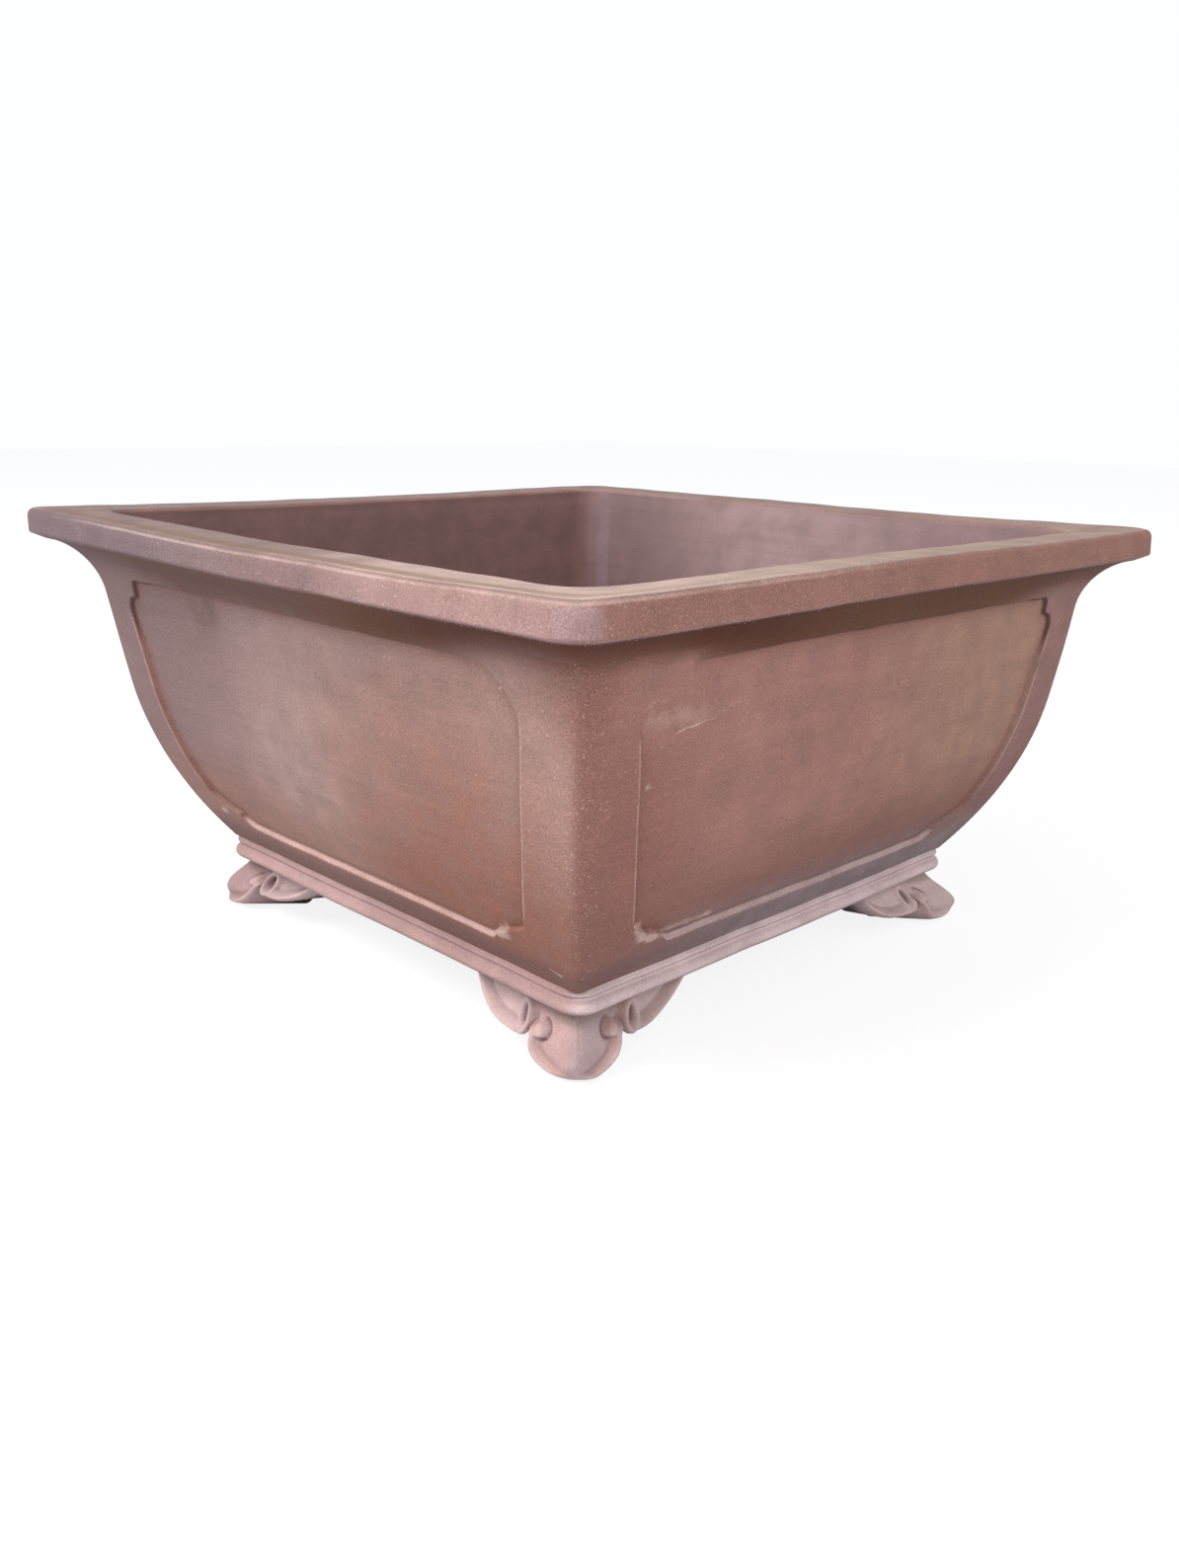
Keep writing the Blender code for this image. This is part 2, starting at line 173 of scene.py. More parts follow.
def ease(low, high, values):
    """Smooth step from 0 at low to 1 at high."""
    share = np.clip((values - low) / (high - low), 0, 1)
    return share * share * (3 - 2 * share)


def waves(points, length, seed):
    """A smooth field of directions, about 1 long, that rolls over roughly every length."""
    draw = np.random.default_rng(seed)
    field = np.zeros_like(points)
    for _ in range(WAVES_ADDED):
        ways = draw.normal(size=(3, 3))
        ways /= np.linalg.norm(ways, axis=1, keepdims=True)
        pace = 2 * math.pi / length * draw.uniform(0.6, 1.5)
        field += np.sin(points @ ways.T * pace + draw.uniform(0, 2 * math.pi, 3))
    return field / math.sqrt(WAVES_ADDED)


def handmade(points):
    """The points, bent as the clay is."""
    grounded = np.clip(points[:, 2:] / FLOOR_LOW, 0, 1)
    moved = points + grounded * SLAB_WAVE[0] * waves(points, SLAB_WAVE[1], seed=1)
    moved += grounded * STROKE_WAVE[0] * waves(points, STROKE_WAVE[1], seed=2)
    rise = np.clip((points[:, 2] - WARP_FOOT) / (POT_TOP - WARP_FOOT), 0, 1)
    for (across, along), move in RIM_WARPS.items():
        corner = np.array((across, along)) * RIM_HALF
        away = np.linalg.norm(points[:, :2] - corner, axis=1) / WARP_REACH
        moved += (rise ** 2 * np.exp(-away ** 2))[:, None] * np.array(move)
    over = np.clip((points[:, 2] - POT_TOP + RIM_BAND) / RIM_BAND, 0, 1)
    outward = np.clip((np.abs(points[:, :2]).max(axis=1) - MOUTH_HALF) / RIM_WIDTH, 0, 1)
    moved[:, 2] += RIM_TILT * over * outward * ease(*TILT_FROM, points[:, 0])
    toe = np.clip(SHIFT_RISE * (1 - points[:, 2] / FLOOR_LOW), 0, 1)
    for (across, along), move in FOOT_SHIFTS.items():
        mine = (points[:, 0] * across > 0) & (points[:, 1] * along > 0)
        moved += (toe * mine)[:, None] * np.array(move)
    return moved


print("corners warped:", len(RIM_WARPS))

# %% [markdown]
# ## From points to pieces
# A piece is one closed mesh: a skin that is shaded smooth, and caps, the hidden joints, which are
# flat. Blender smooths each mesh by itself, so two mitred neighbours would show a line where their
# shading differs. The real joint was wiped over with slip and shows none, so the skin's normals
# on a mitre are laid into the mitre's plane, where both pieces agree.

# %% Shading
TOUCH = 1e-6


def turned(points, quarter):
    """Points turned about the middle of the pot by quarter turns."""
    return points @ np.array(Matrix.Rotation(quarter * math.pi / 2, 3, "Z")).T


def skin_normals(points, skin):
    """Normals of the points, each face weighted by its angle there."""
    normals = np.zeros_like(points)
    corners = points[skin]
    facing = np.cross(corners[:, 1] - corners[:, 0], corners[:, 2] - corners[:, 0])
    facing /= np.maximum(np.linalg.norm(facing, axis=1, keepdims=True), 1e-20)
    for spot in range(3):
        here = corners[:, spot]
        ahead = corners[:, (spot + 1) % 3] - here
        behind = corners[:, (spot + 2) % 3] - here
        cosine = np.sum(ahead * behind, axis=1)
        cosine /= np.maximum(np.linalg.norm(ahead, axis=1) * np.linalg.norm(behind, axis=1), 1e-20)
        np.add.at(normals, skin[:, spot], facing * np.arccos(np.clip(cosine, -1, 1))[:, None])
    return normals


def lay_on_mitres(normals, points):
    """Normals of points that lie on a diagonal of the pot, turned into the diagonal's plane."""
    for across in (1, -1):
        plane = np.array((1, across, 0)) / math.sqrt(2)
        on_it = np.abs(points @ plane) < TOUCH
        normals[on_it] -= (normals[on_it] @ plane)[:, None] * plane
    return normals


print("ready to shade the skins")


# %% Pieces
def make_piece(name, points, skin, caps, material, quarter=0, notes=None, steep=None):
    """A finished mesh object at the origin. Steep gives the outline's slope at points on a level seam."""
    points = turned(points, quarter)
    moved = handmade(points)
    normals = lay_on_mitres(skin_normals(moved, skin), points)
    if steep is not None:
        seam = ~np.isnan(steep)
        level = np.linalg.norm(normals[seam, :2], axis=1)
        normals[seam, 2] = -steep[seam] * level
    normals /= np.maximum(np.linalg.norm(normals, axis=1, keepdims=True), 1e-20)
    mesh = bpy.data.meshes.new(name)
    # The caps come first: where faces share a point, the renderer's normal there is the last face's.
    mesh.from_pydata(moved.tolist(), [], np.vstack((caps, skin)).tolist())
    mesh.shade_smooth()
    ends = moved[caps]
    flat = np.cross(ends[:, 1] - ends[:, 0], ends[:, 2] - ends[:, 0])
    flat /= np.maximum(np.linalg.norm(flat, axis=1, keepdims=True), 1e-20)
    by_corner = np.vstack((np.repeat(flat, 3, axis=0), normals[skin].reshape(-1, 3)))
    mesh.normals_split_custom_set(by_corner.tolist())
    for note, values in (notes or {}).items():
        values = np.ascontiguousarray(values, np.float32)
        mesh.attributes.new(note, "FLOAT", "POINT").data.foreach_set("value", values)
    mesh.materials.append(material)
    piece = bpy.data.objects.new(name, mesh)
    bpy.context.scene.collection.objects.link(piece)
    return piece


def stands_for(piece, node):
    """Puts a finished piece in the place of its solid."""
    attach(piece, "root")
    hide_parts(node)


def grid_faces(rows, columns):
    """Triangles of a grid of points, numbered row by row."""
    index = np.arange(rows * columns).reshape(rows, columns)
    low, high = index[:-1], index[1:]
    first = np.stack((low[:, :-1], low[:, 1:], high[:, 1:]), -1).reshape(-1, 3)
    second = np.stack((low[:, :-1], high[:, 1:], high[:, :-1]), -1).reshape(-1, 3)
    return np.vstack((first, second))


print("ready to make pieces")

# %% [markdown]
# ## The clay
# Stoneware is fired hot enough to be hard, but unglazed it stays matt and a little sandy. Its
# colour is not even: iron and flame leave warm and grey patches, dust settles on top, dirt stays
# in hollows, and pale grains of sand stand in the surface. An image could be painted for each piece,
# but a rule needs no file, has no seams and fits them all, so one function lays all of that on.
# Scales are worked out from real sizes in millimetres.


# %% Node helpers
def linear(colour):
    """Linear light from an sRGB hex number."""
    shares = np.array([colour >> shift & 255 for shift in (16, 8, 0)]) / 255
    light = np.where(shares <= 0.04045, shares / 12.92, ((shares + 0.055) / 1.055) ** 2.4)
    return (*light.tolist(), 1.0)


def per(size):
    """Texture scale for a pattern whose features are about this size."""
    return 1 / size


def add(tree, kind, inputs=None, **settings):
    """A new node, with its settings, and its inputs set to values or linked to sockets."""
    made = tree.nodes.new(kind)
    for key, value in settings.items():
        setattr(made, key, value)
    for key, value in (inputs or {}).items():
        if isinstance(value, bpy.types.NodeSocket):
            tree.links.new(value, made.inputs[key])
        else:
            made.inputs[key].default_value = value
    return made


def calc(tree, operation, *values, **settings):
    """What a Math node makes of values or sockets."""
    return add(tree, "ShaderNodeMath", dict(enumerate(values)), operation=operation, **settings).outputs[0]


def mapped(tree, value, low=0.0, high=1.0, to_low=0.0, to_high=1.0, **settings):
    """A value, mapped from one range to another."""
    ranges = dict(enumerate((value, low, high, to_low, to_high)))
    return add(tree, "ShaderNodeMapRange", ranges, **settings).outputs[0]


def mixed(tree, share, first, second):
    """A blend of two colours."""
    return add(tree, "ShaderNodeMix", {0: share, 6: first, 7: second}, data_type="RGBA").outputs[2]


def noise(tree, spot, size, detail):
    """Value and colour of a noise whose features are about this size."""
    return add(tree, "ShaderNodeTexNoise", {"Vector": spot, "Scale": per(size), "Detail": detail}).outputs


print("sRGB 0x808080 is", round(linear(0x808080)[0], 3), "in linear light")


# %% Tinted zones
def zone(colour, strength, ragged, **masks):
    """A tint where all masks overlap. A mask is (from, to) and, for a place or a way faced, its vector."""
    return colour, strength, ragged, masks


def zone_mask(tree, spot, how, low, high, what=None):
    """A mask from 0 at low to 1 at high, of height, a place's distance, a way faced or a note on the mesh."""
    if how == "height":
        value = add(tree, "ShaderNodeSeparateXYZ", {0: spot}).outputs[2]
    elif how == "place":
        value = add(tree, "ShaderNodeVectorMath", {0: spot, 1: what}, operation="DISTANCE").outputs["Value"]
    elif how == "facing":
        normal = add(tree, "ShaderNodeNewGeometry").outputs["Normal"]
        ways = {0: normal, 1: what}
        value = add(tree, "ShaderNodeVectorMath", ways, operation="DOT_PRODUCT").outputs["Value"]
    else:
        value = add(tree, "ShaderNodeAttribute", attribute_name=how).outputs["Fac"]
    return mapped(tree, value, low, high, interpolation_type="SMOOTHSTEP")


def tinted(tree, spot, patches, colour, zones):
    """The colour with each zone's tint laid over it, its edge made ragged by the patches."""
    for tint, strength, ragged, masks in zones:
        mask = 1.0
        for how, limits in masks.items():
            mask = calc(tree, "MULTIPLY", zone_mask(tree, spot, how, *limits), mask)
        uneven = calc(tree, "SUBTRACT", patches, 0.5)
        edge = calc(tree, "MULTIPLY_ADD", uneven, 2 * ragged, 1.0)
        here = calc(tree, "MULTIPLY", edge, mask, use_clamp=True)
        colour = mixed(tree, calc(tree, "MULTIPLY", here, strength), colour, linear(tint))
    return colour


print("ready to tint the clay")

# %% Sand in the clay
# Sizes of sand: spacing, the sandiness from which there is any, the share of places that hold a grain
# where it is sandiest, and paleness.
SAND = ((0.8 * MM, -0.5, 0.60, 0.34), (1.4 * MM, 0.1, 0.16, 0.6))
SAND_COLOUR = 0xDCC2B4
# A grain's soft edge, in spacings from its middle, and how pale the dullest grain is beside the palest.
GRAIN_EDGE = (0.42, 0.18)
DULLEST = 0.3


def sanded(tree, spot, patches, grain, colour):
    """The colour with pale sand grains in it, more of them where the mesh is noted sandy, and their mask."""
    sandy = add(tree, "ShaderNodeAttribute", attribute_name="sandy").outputs["Fac"]
    crowd = calc(tree, "ADD", sandy, mapped(tree, patches, 0.4, 0.65, -0.2, 0.3))
    total = 0.0
    for size, least, most, paleness in SAND:
        shift = add(tree, "ShaderNodeVectorMath", {0: grain, 3: 0.5 * size}, operation="SCALE").outputs[0]
        place = add(tree, "ShaderNodeVectorMath", {0: spot, 1: shift}, operation="ADD").outputs[0]
        cells = add(tree, "ShaderNodeTexVoronoi", {"Vector": place, "Scale": per(size)})
        chance = add(tree, "ShaderNodeSeparateColor", {0: cells.outputs["Color"]}).outputs
        chosen = calc(tree, "LESS_THAN", chance[0], mapped(tree, crowd, least, 1.0, 0.0, most))
        round_one = mapped(tree, cells.outputs["Distance"], *GRAIN_EDGE)
        pale = mapped(tree, chance[1], 0.0, 1.0, DULLEST * paleness, paleness)
        here = calc(tree, "MULTIPLY", calc(tree, "MULTIPLY", round_one, chosen), pale)
        total = calc(tree, "MAXIMUM", here, total)
    return mixed(tree, total, colour, linear(SAND_COLOUR)), total


print("sand grains every", [round(size / MM, 1) for size, *_ in SAND], "mm")

# %% Stoneware
CLOUD = 70 * MM
PATCH = 16 * MM
# Drag marks of the scraper: length and width.
STREAK = (70 * MM, 3 * MM)
# Real clay grain is finer than a tenth of a millimetre. It is drawn coarser here, so that it shows.
CLAY_GRAIN = 0.6 * MM
BUMP_HEIGHT = 0.3 * MM
# How much the colour changes with the grain inside, with the patches and with the drag marks.
INNER_GRAIN = 0.5
PATCHY = 0.55
STREAKY = 0.2
# How far sand stands out beside the clay's own grain, and how rough and shiny the clay is.
SAND_PROUD = 0.7
BUMP_STRENGTH = 0.5
CLAY_ROUGHNESS = (0.74, 0.9)
CLAY_SHINE = 0.35


def stoneware(name, clay, cloud, grainy, *zones):
    """Unglazed stoneware: clouded, tinted, scraped and sandy clay, matt to the eye, with a fine tooth."""
    material = bpy.data.materials.new(name)
    material.use_nodes = True
    tree = material.node_tree
    shader = tree.nodes["Principled BSDF"]
    spot = add(tree, "ShaderNodeTexCoord").outputs["Object"]
    clouds = noise(tree, spot, CLOUD, 4.0)[0]
    patches = noise(tree, spot, PATCH, 5.0)[0]
    grain = noise(tree, spot, CLAY_GRAIN, 3.0)
    squeeze = (STREAK[1] / STREAK[0], STREAK[1] / STREAK[0], 1)
    drawn = add(tree, "ShaderNodeVectorMath", {0: spot, 1: squeeze}, operation="MULTIPLY").outputs[0]
    streaks = noise(tree, drawn, STREAK[1], 3.0)[0]

    colour = mixed(tree, mapped(tree, clouds, 0.35, 0.65), linear(clay), linear(cloud))
    colour = tinted(tree, spot, patches, colour, zones)
    inner = add(tree, "ShaderNodeAttribute", attribute_name="inner").outputs["Fac"]
    tooth = mapped(tree, inner, 0.0, 1.0, grainy, INNER_GRAIN)
    value = 1.0
    for pattern, change in ((grain[0], tooth), (patches, PATCHY), (streaks, STREAKY)):
        value = calc(tree, "MULTIPLY_ADD", calc(tree, "SUBTRACT", pattern, 0.5), change, value)
    colour = add(tree, "ShaderNodeVectorMath", {0: colour, 3: value}, operation="SCALE").outputs[0]
    colour, sand = sanded(tree, spot, patches, grain[1], colour)

    height = calc(tree, "MULTIPLY_ADD", sand, SAND_PROUD, grain[0])
    teeth = {"Height": height, "Strength": BUMP_STRENGTH, "Distance": BUMP_HEIGHT}
    bump = add(tree, "ShaderNodeBump", teeth).outputs[0]
    rough = mapped(tree, patches, 0.3, 0.7, *CLAY_ROUGHNESS)
    tree.links.new(colour, shader.inputs["Base Color"])
    tree.links.new(rough, shader.inputs["Roughness"])
    tree.links.new(bump, shader.inputs["Normal"])
    shader.inputs["Specular IOR Level"].default_value = CLAY_SHINE
    return material


print("clay clouds", round(CLOUD / MM), "mm, patches", round(PATCH / MM), "mm")

# %% [markdown]
# The same clay body was used all over, but each piece met the flame, the potter's sponge and the
# weather in its own way. Paint strokes could show that; zones bound to a height, a place, a way
# faced or a note on the mesh are kept instead, because they stay put when a shape changes. Light
# and shade are painted into some of them. The front is painted greyer towards its far end as shade
# and lighter at the near corner as light, iron shows red near the base, a bluish reflection of the
# ground is painted low on the right, painted shade and soot darken the underside of the rim, the
# right sides are painted darker as shade, and painted shade darkens the inside downwards.

# %% Wall clay
UP, DOWN, FRONT, RIGHT = (0, 0, 1), (0, 0, -1), (0, -1, 0), (1, 0, 0)
FLAT, FACES_FRONT, FACES_RIGHT = (0.93, 0.995, UP), (0.35, 0.85, FRONT), (0.35, 0.85, RIGHT)
NOTED = (0.1, 0.9)
# The inside is dark and smooth, its darkness partly painted shade; the back is painted greyer and lighter
# towards the top as light, darker in its corners as shade, with a painted highlight down the coil at the far
# corner.
INNER_ZONES = (
    zone(0x6A4E4A, 1.0, 0.2, inner=NOTED),
    zone(0x876864, 0.9, 0.2, inner=NOTED, facing=FACES_RIGHT),
    zone(0xAD9191, 0.95, 0.2, inner=NOTED, facing=FACES_FRONT, height=(85 * MM, 170 * MM)),
    zone(0x6E5456, 0.75, 0.2, inner=NOTED, facing=FACES_FRONT,
         place=(150 * MM, 30 * MM, (-0.16, 0.16, 0.14))),
    zone(0x93787A, 0.8, 0.2, inner=NOTED, facing=FACES_FRONT,
         place=(200 * MM, 70 * MM, (0.19, 0.17, 0.18))),
    # Painted highlight down the coil at the far corner.
    zone(0x8D767D, 0.85, 0.1, inner=NOTED, facing=(0.968, 0.999, (0.53, -0.82, 0.22))),
)
# Walls: warm and clouded, matt as brick, with painted shade in the panel's step, painted highlights on
# its crest and ledge, and pale where slip was left.
WALL_CLAY = stoneware(
    "unglazed stoneware, wall", 0xA88C84, 0x9E7E75, 1.3,
    # Painted shade: greyer and darker towards the far left end of the front.
    zone(0x7D6665, 0.85, 0.5, place=(210 * MM, 50 * MM, (-0.18, -0.19, 0.16))),
    # Painted light: lighter near the front right corner.
    zone(0xB38D82, 0.45, 0.6, place=(110 * MM, 25 * MM, (0.155, -0.195, 0.125))),
    zone(0x966D5E, 0.6, 0.8, facing=FACES_FRONT, height=(105 * MM, 60 * MM)),
    zone(0x8C5945, 0.7, 0.8, place=(120 * MM, 30 * MM, (0.10, -0.16, 0.058))),
    zone(0xAE9A93, 0.25, 1.6, place=(60 * MM, 15 * MM, (-0.02, -0.18, 0.085))),
    zone(0x66504C, 0.6, 2.0, place=(18 * MM, 5 * MM, (-0.072, -0.176, 0.166))),
    # Painted shade: the right side darker and warmer than the front.
    zone(0xA1756A, 0.85, 0.2, facing=FACES_RIGHT),
    zone(0x865A50, 0.6, 0.5, facing=FACES_RIGHT, place=(95 * MM, 30 * MM, (0.165, -0.165, 0.09))),
    zone(0xA88974, 0.6, 0.6, facing=FACES_RIGHT, place=(150 * MM, 30 * MM, (0.17, 0.12, 0.155))),
    zone(0x7E5850, 0.6, 0.5, facing=FACES_RIGHT, height=(110 * MM, 50 * MM)),
    zone(0x8E6C69, 0.7, 0.3, facing=FACES_RIGHT, place=(120 * MM, 40 * MM, (0.165, 0.17, 0.12)), proud=NOTED),
    # Darker brown margin inside the panel's step: partly dirt, partly painted shade beside the step.
    zone(0x7E5446, 0.55, 0.8, margin=NOTED),
    # Painted shade: darker low down, on the rail under the panel, which faces down.
    zone(0x735650, 0.75, 0.3, height=(56 * MM, 44 * MM)),
    # Painted reflection: a bluish reflection of the ground, low on the right side.
    zone(0x978A8C, 0.8, 0.4, facing=(0.2, 0.7, RIGHT), height=(70 * MM, 44 * MM),
         place=(200 * MM, 80 * MM, (0.145, 0.06, 0.05))),
    # Painted shade and soot just under the rim at the near corner.
    zone(0x7E4C3E, 0.6, 0.5, place=(52 * MM, 15 * MM, (0.19, -0.19, 0.172))),
    # Painted shade and soot under the rim, darkest at the near corner.
    zone(0x66483C, 0.9, 0.2, under=NOTED),
    zone(0x66422F, 0.95, 0.2, under=NOTED, place=(290 * MM, 190 * MM, (0.2, 0.0, 0.185))),
    zone(0x4E2310, 0.92, 0.3, under=NOTED, place=(150 * MM, 40 * MM, (0.18, -0.17, 0.185))),
    # Painted shade on the riser of the panel's step.
    zone(0x4F3530, 0.85, 0.3, riser=NOTED),
    # Painted shade in the crease above the ledge.
    zone(0x654C46, 0.35, 0.5, crease=NOTED),
    # The step's crest: pale from wear and a painted highlight.
    zone(0xC9A89C, 0.5, 1.3, crest=NOTED),
    # Painted highlight on the ledge, which faces up, cooler on the right side.
    zone(0xC9A7A0, 0.9, 0.4, ledge=NOTED),
    zone(0xB7A3A4, 0.8, 0.4, ledge=NOTED, place=(210 * MM, 150 * MM, (0.14, 0.04, 0.055))),
    zone(0xCBB0A5, 0.75, 1.3, slip=NOTED),
    *INNER_ZONES,
)
print("wall clay:", WALL_CLAY.name, "with", len(INNER_ZONES), "zones inside")

# %% Rim, bead and foot clays
# Rim: dusty on top, pale along its edge from wear and a painted highlight, greyer at the far left and
# darker on the right as painted shade, lighter at the near corner as painted light, sooty and in painted
# shade below.
RIM_CLAY = stoneware(
    "unglazed stoneware, rim", 0x9A7F7A, 0x93736D, 1.2,
    # Painted shade: greyer and darker at the far left.
    zone(0x756467, 0.9, 0.3, place=(330 * MM, 70 * MM, (-0.2, -0.2, 0.195))),
    # Painted shade: the right side darker and warmer.
    zone(0x966C5F, 0.85, 0.2, facing=FACES_RIGHT),
    # Painted light: lighter at the near corner, and a painted bluish highlight where the band faces the near
    # corner.
    zone(0xB08C87, 0.8, 0.6, facing=FACES_FRONT, place=(120 * MM, 30 * MM, (0.17, -0.2, 0.195))),
    zone(0xB59BA0, 0.5, 0.8, facing=(0.8, 0.99, (0.707, -0.707, 0)),
         place=(60 * MM, 15 * MM, (0.193, -0.193, 0.195))),
    zone(0x958078, 0.75, 0.9, facing=FLAT),
    zone(0xCBB1A7, 0.85, 0.4, facing=FLAT, place=(170 * MM, 40 * MM, (0.17, -0.17, 0.2))),
    zone(0xAE9789, 0.7, 0.7, facing=FLAT, place=(230 * MM, 60 * MM, (0.185, 0.05, 0.2))),
    zone(0x84674F, 0.6, 0.9, dust=NOTED, place=(215 * MM, 150 * MM, (0.01, -0.19, 0.2))),
    # Pale along the brim's edge: wear and a painted highlight.
    zone(0xD8BFB4, 0.4, 1.4, worn=NOTED, place=(230 * MM, 130 * MM, (0.06, -0.2, 0.2))),
    # Painted shade and soot under the rim, as on the walls.
    zone(0x66483C, 0.9, 0.2, under=NOTED),
    zone(0x66422F, 0.95, 0.2, under=NOTED, place=(290 * MM, 190 * MM, (0.2, 0.0, 0.185))),
    zone(0x4E2310, 0.92, 0.3, under=NOTED, place=(150 * MM, 40 * MM, (0.18, -0.17, 0.185))),
    *INNER_ZONES,
)
# Bead: paler and smoother, wiped with a wet finger; painted lighter where it faces right and painted
# shade where it faces down.
BEAD_CLAY = stoneware(
    "unglazed stoneware, bead", 0xBE9E9B, 0xB2918D, 0.8,
    # Painted light where the bead faces right, painted shade where it faces down.
    zone(0xDCC9CA, 0.9, 0.3, facing=(0.2, 0.8, RIGHT)),
    zone(0x98807F, 0.6, 0.4, facing=(0.1, 0.8, DOWN)),
)
# Feet: palest and smooth from the mould, with painted shade in the hollows, on the right sides, on the
# far left foot and near the ground, a painted highlight on the raised relief, and some dirt under the floor.
FOOT_CLAY = stoneware(
    "unglazed stoneware, feet", 0xC4A4A1, 0xB79592, 0.8,
    # Painted shade on the right sides.
    zone(0xB9A7AA, 0.7, 0.3, facing=(0.3, 0.8, RIGHT)),
    zone(0xD6C0BE, 0.7, 0.3, place=(100 * MM, 60 * MM, (0.13, 0.13, 0.01))),
    # Painted shade on the far left foot.
    zone(0xA48787, 0.8, 0.4, place=(70 * MM, 40 * MM, (-0.13, -0.13, 0.01))),
    zone(0xDCCACA, 0.36, 0.3, wing=NOTED),
    # Painted highlight on the raised relief; painted shade in the hollows and near the ground.
    zone(0xDCBFBB, 0.5, 0.6, crest=NOTED),
    zone(0x6A504F, 0.8, 0.5, hollow=NOTED),
    zone(0x94877A, 0.55, 2.0, dirt=NOTED),
    zone(0x4E3B38, 0.9, 0.2, below=(0.0, 0.7)),
)
print("clays:", [material.name for material in bpy.data.materials if material.name.startswith("unglazed")])

# %% [markdown]
# ## Flat shapes
# The walls and feet carry relief: sunk panels with cusped corners, raised borders and curls. They
# could be sculpted, but not from a script, and Booleans leave ragged edges. So each is drawn flat
# first, filled with triangles that crowd along its lines, and then laid on the pot with a height
# for every point. Distance from a drawn line decides that height.


# %% Flat shapes
def spread(start, end, step):
    """Points from start towards end, about a step apart, without the end."""
    start, end = np.asarray(start, float), np.asarray(end, float)
    count = max(1, round(float(np.linalg.norm(end - start)) / step))
    return start + (end - start) * np.arange(count)[:, None] / count


# What the triangulation keeps: all that its loops enclose, or all but the holes.
INSIDE, INSIDE_WITH_HOLES = 1, 2


def filled(loop, inner=(), holes=()):
    """Triangles that fill a closed loop, through the inner points too: points, faces, loop and hole order."""
    loops = [loop, *holes]
    given = [Vector(point) for part in (*loops, inner) for point in part]
    rounds = []
    first = 0
    for part in loops:
        rounds.append(list(range(first, first + len(part))))
        first += len(part)
    made = geometry.delaunay_2d_cdt(given, [], rounds, INSIDE_WITH_HOLES if holes else INSIDE, 1e-7)
    order = {}
    for index, sources in enumerate(made[3]):
        for source in sources:
            order[source] = index
    points = np.array([point[:] for point in made[0]])
    return points, np.array([face[:] for face in made[2]]), np.array([order[i] for i in range(first)])


def distance(points, path, closed=False):
    """Distance of each point from a path of straight runs."""
    ends = np.roll(path, -1, axis=0)
    nearest = np.full(len(points), np.inf)
    for start, end in list(zip(path, ends))[:None if closed else -1]:
        run = end - start
        share = np.clip((points - start) @ run / max(run @ run, 1e-18), 0, 1)
        nearest = np.minimum(nearest, np.linalg.norm(points - start - share[:, None] * run, axis=1))
    return nearest


def within(points, loop):
    """Which points lie inside a closed loop."""
    found = np.zeros(len(points), bool)
    for start, end in zip(loop, np.roll(loop, -1, axis=0)):
        if start[1] == end[1]:
            continue
        crosses = (start[1] > points[:, 1]) != (end[1] > points[:, 1])
        reach = start[0] + (points[:, 1] - start[1]) * (end[0] - start[0]) / (end[1] - start[1])
        found ^= crosses & (points[:, 0] < reach)
    return found


def joined(near, far):
    """Faces of the edge between a front and a back whose loops match point for point."""
    near_next = np.roll(near, -1)
    far_next = np.roll(far, -1)
    return np.vstack((np.stack((near, far, far_next), -1), np.stack((near, far_next, near_next), -1)))


print("ready to draw flat shapes")

# %% [markdown]
# ## Walls
# Each wall is a slab with a sunk panel pressed into it. A grid with a Displace modifier would blur the
# panel's edge, so the wall is drawn as it would lie unrolled: across, and up along its curve. The
# panel's outline has a cusp between two lobes in each corner. Rings of points follow the outline on
# both sides, so the step down stays crisp. Under the panel it is wide and soft, a small ledge.

# %% Panel outline
PANEL_SINK = 2.4 * MM
STILE = 29.5 * MM
TOP_RAIL = 6 * MM
BOTTOM_RAIL = 14.3 * MM
TOP_CORNER = (22 * MM, 19.5 * MM)
TOP_CUSP = (11.5 * MM, 8 * MM)
BOTTOM_CORNER = (20 * MM, 15 * MM)
BOTTOM_CUSP = (12 * MM, 7 * MM)
# How far the lobes swell, at the panel's left and right.
LOBE_BULGES = (3.6 * MM, 1.2 * MM)
OUTLINE_STEP = 0.9 * MM
SIDE_POINTS = 130
OUTLINE_WOBBLE = (0.1 * MM, 30 * MM)
CURVE_POINTS = 400

curve_heights = np.linspace(FLOOR_TOP, RIM_SEAM, CURVE_POINTS)
curve_steps = np.hypot(np.diff(outside(curve_heights)), np.diff(curve_heights))
curve_lengths = np.concatenate(([0], np.cumsum(curve_steps)))


def up_the_wall(height):
    """Distance up along the wall's curve to a height."""
    return np.interp(height, curve_heights, curve_lengths)


def height_at(length):
    """Height reached at a distance up along the wall's curve."""
    return np.interp(length, curve_lengths, curve_heights)


def lobe(start, end, bulge):
    """Points of a curve that swells to the left of the way it runs, without its end."""
    points = spread(start, end, OUTLINE_STEP)
    share = np.linspace(0, 1, len(points), endpoint=False)[:, None]
    run = np.asarray(end) - np.asarray(start)
    left = np.array((-run[1], run[0])) / np.linalg.norm(run)
    return points + 4 * bulge * share * (1 - share) * left


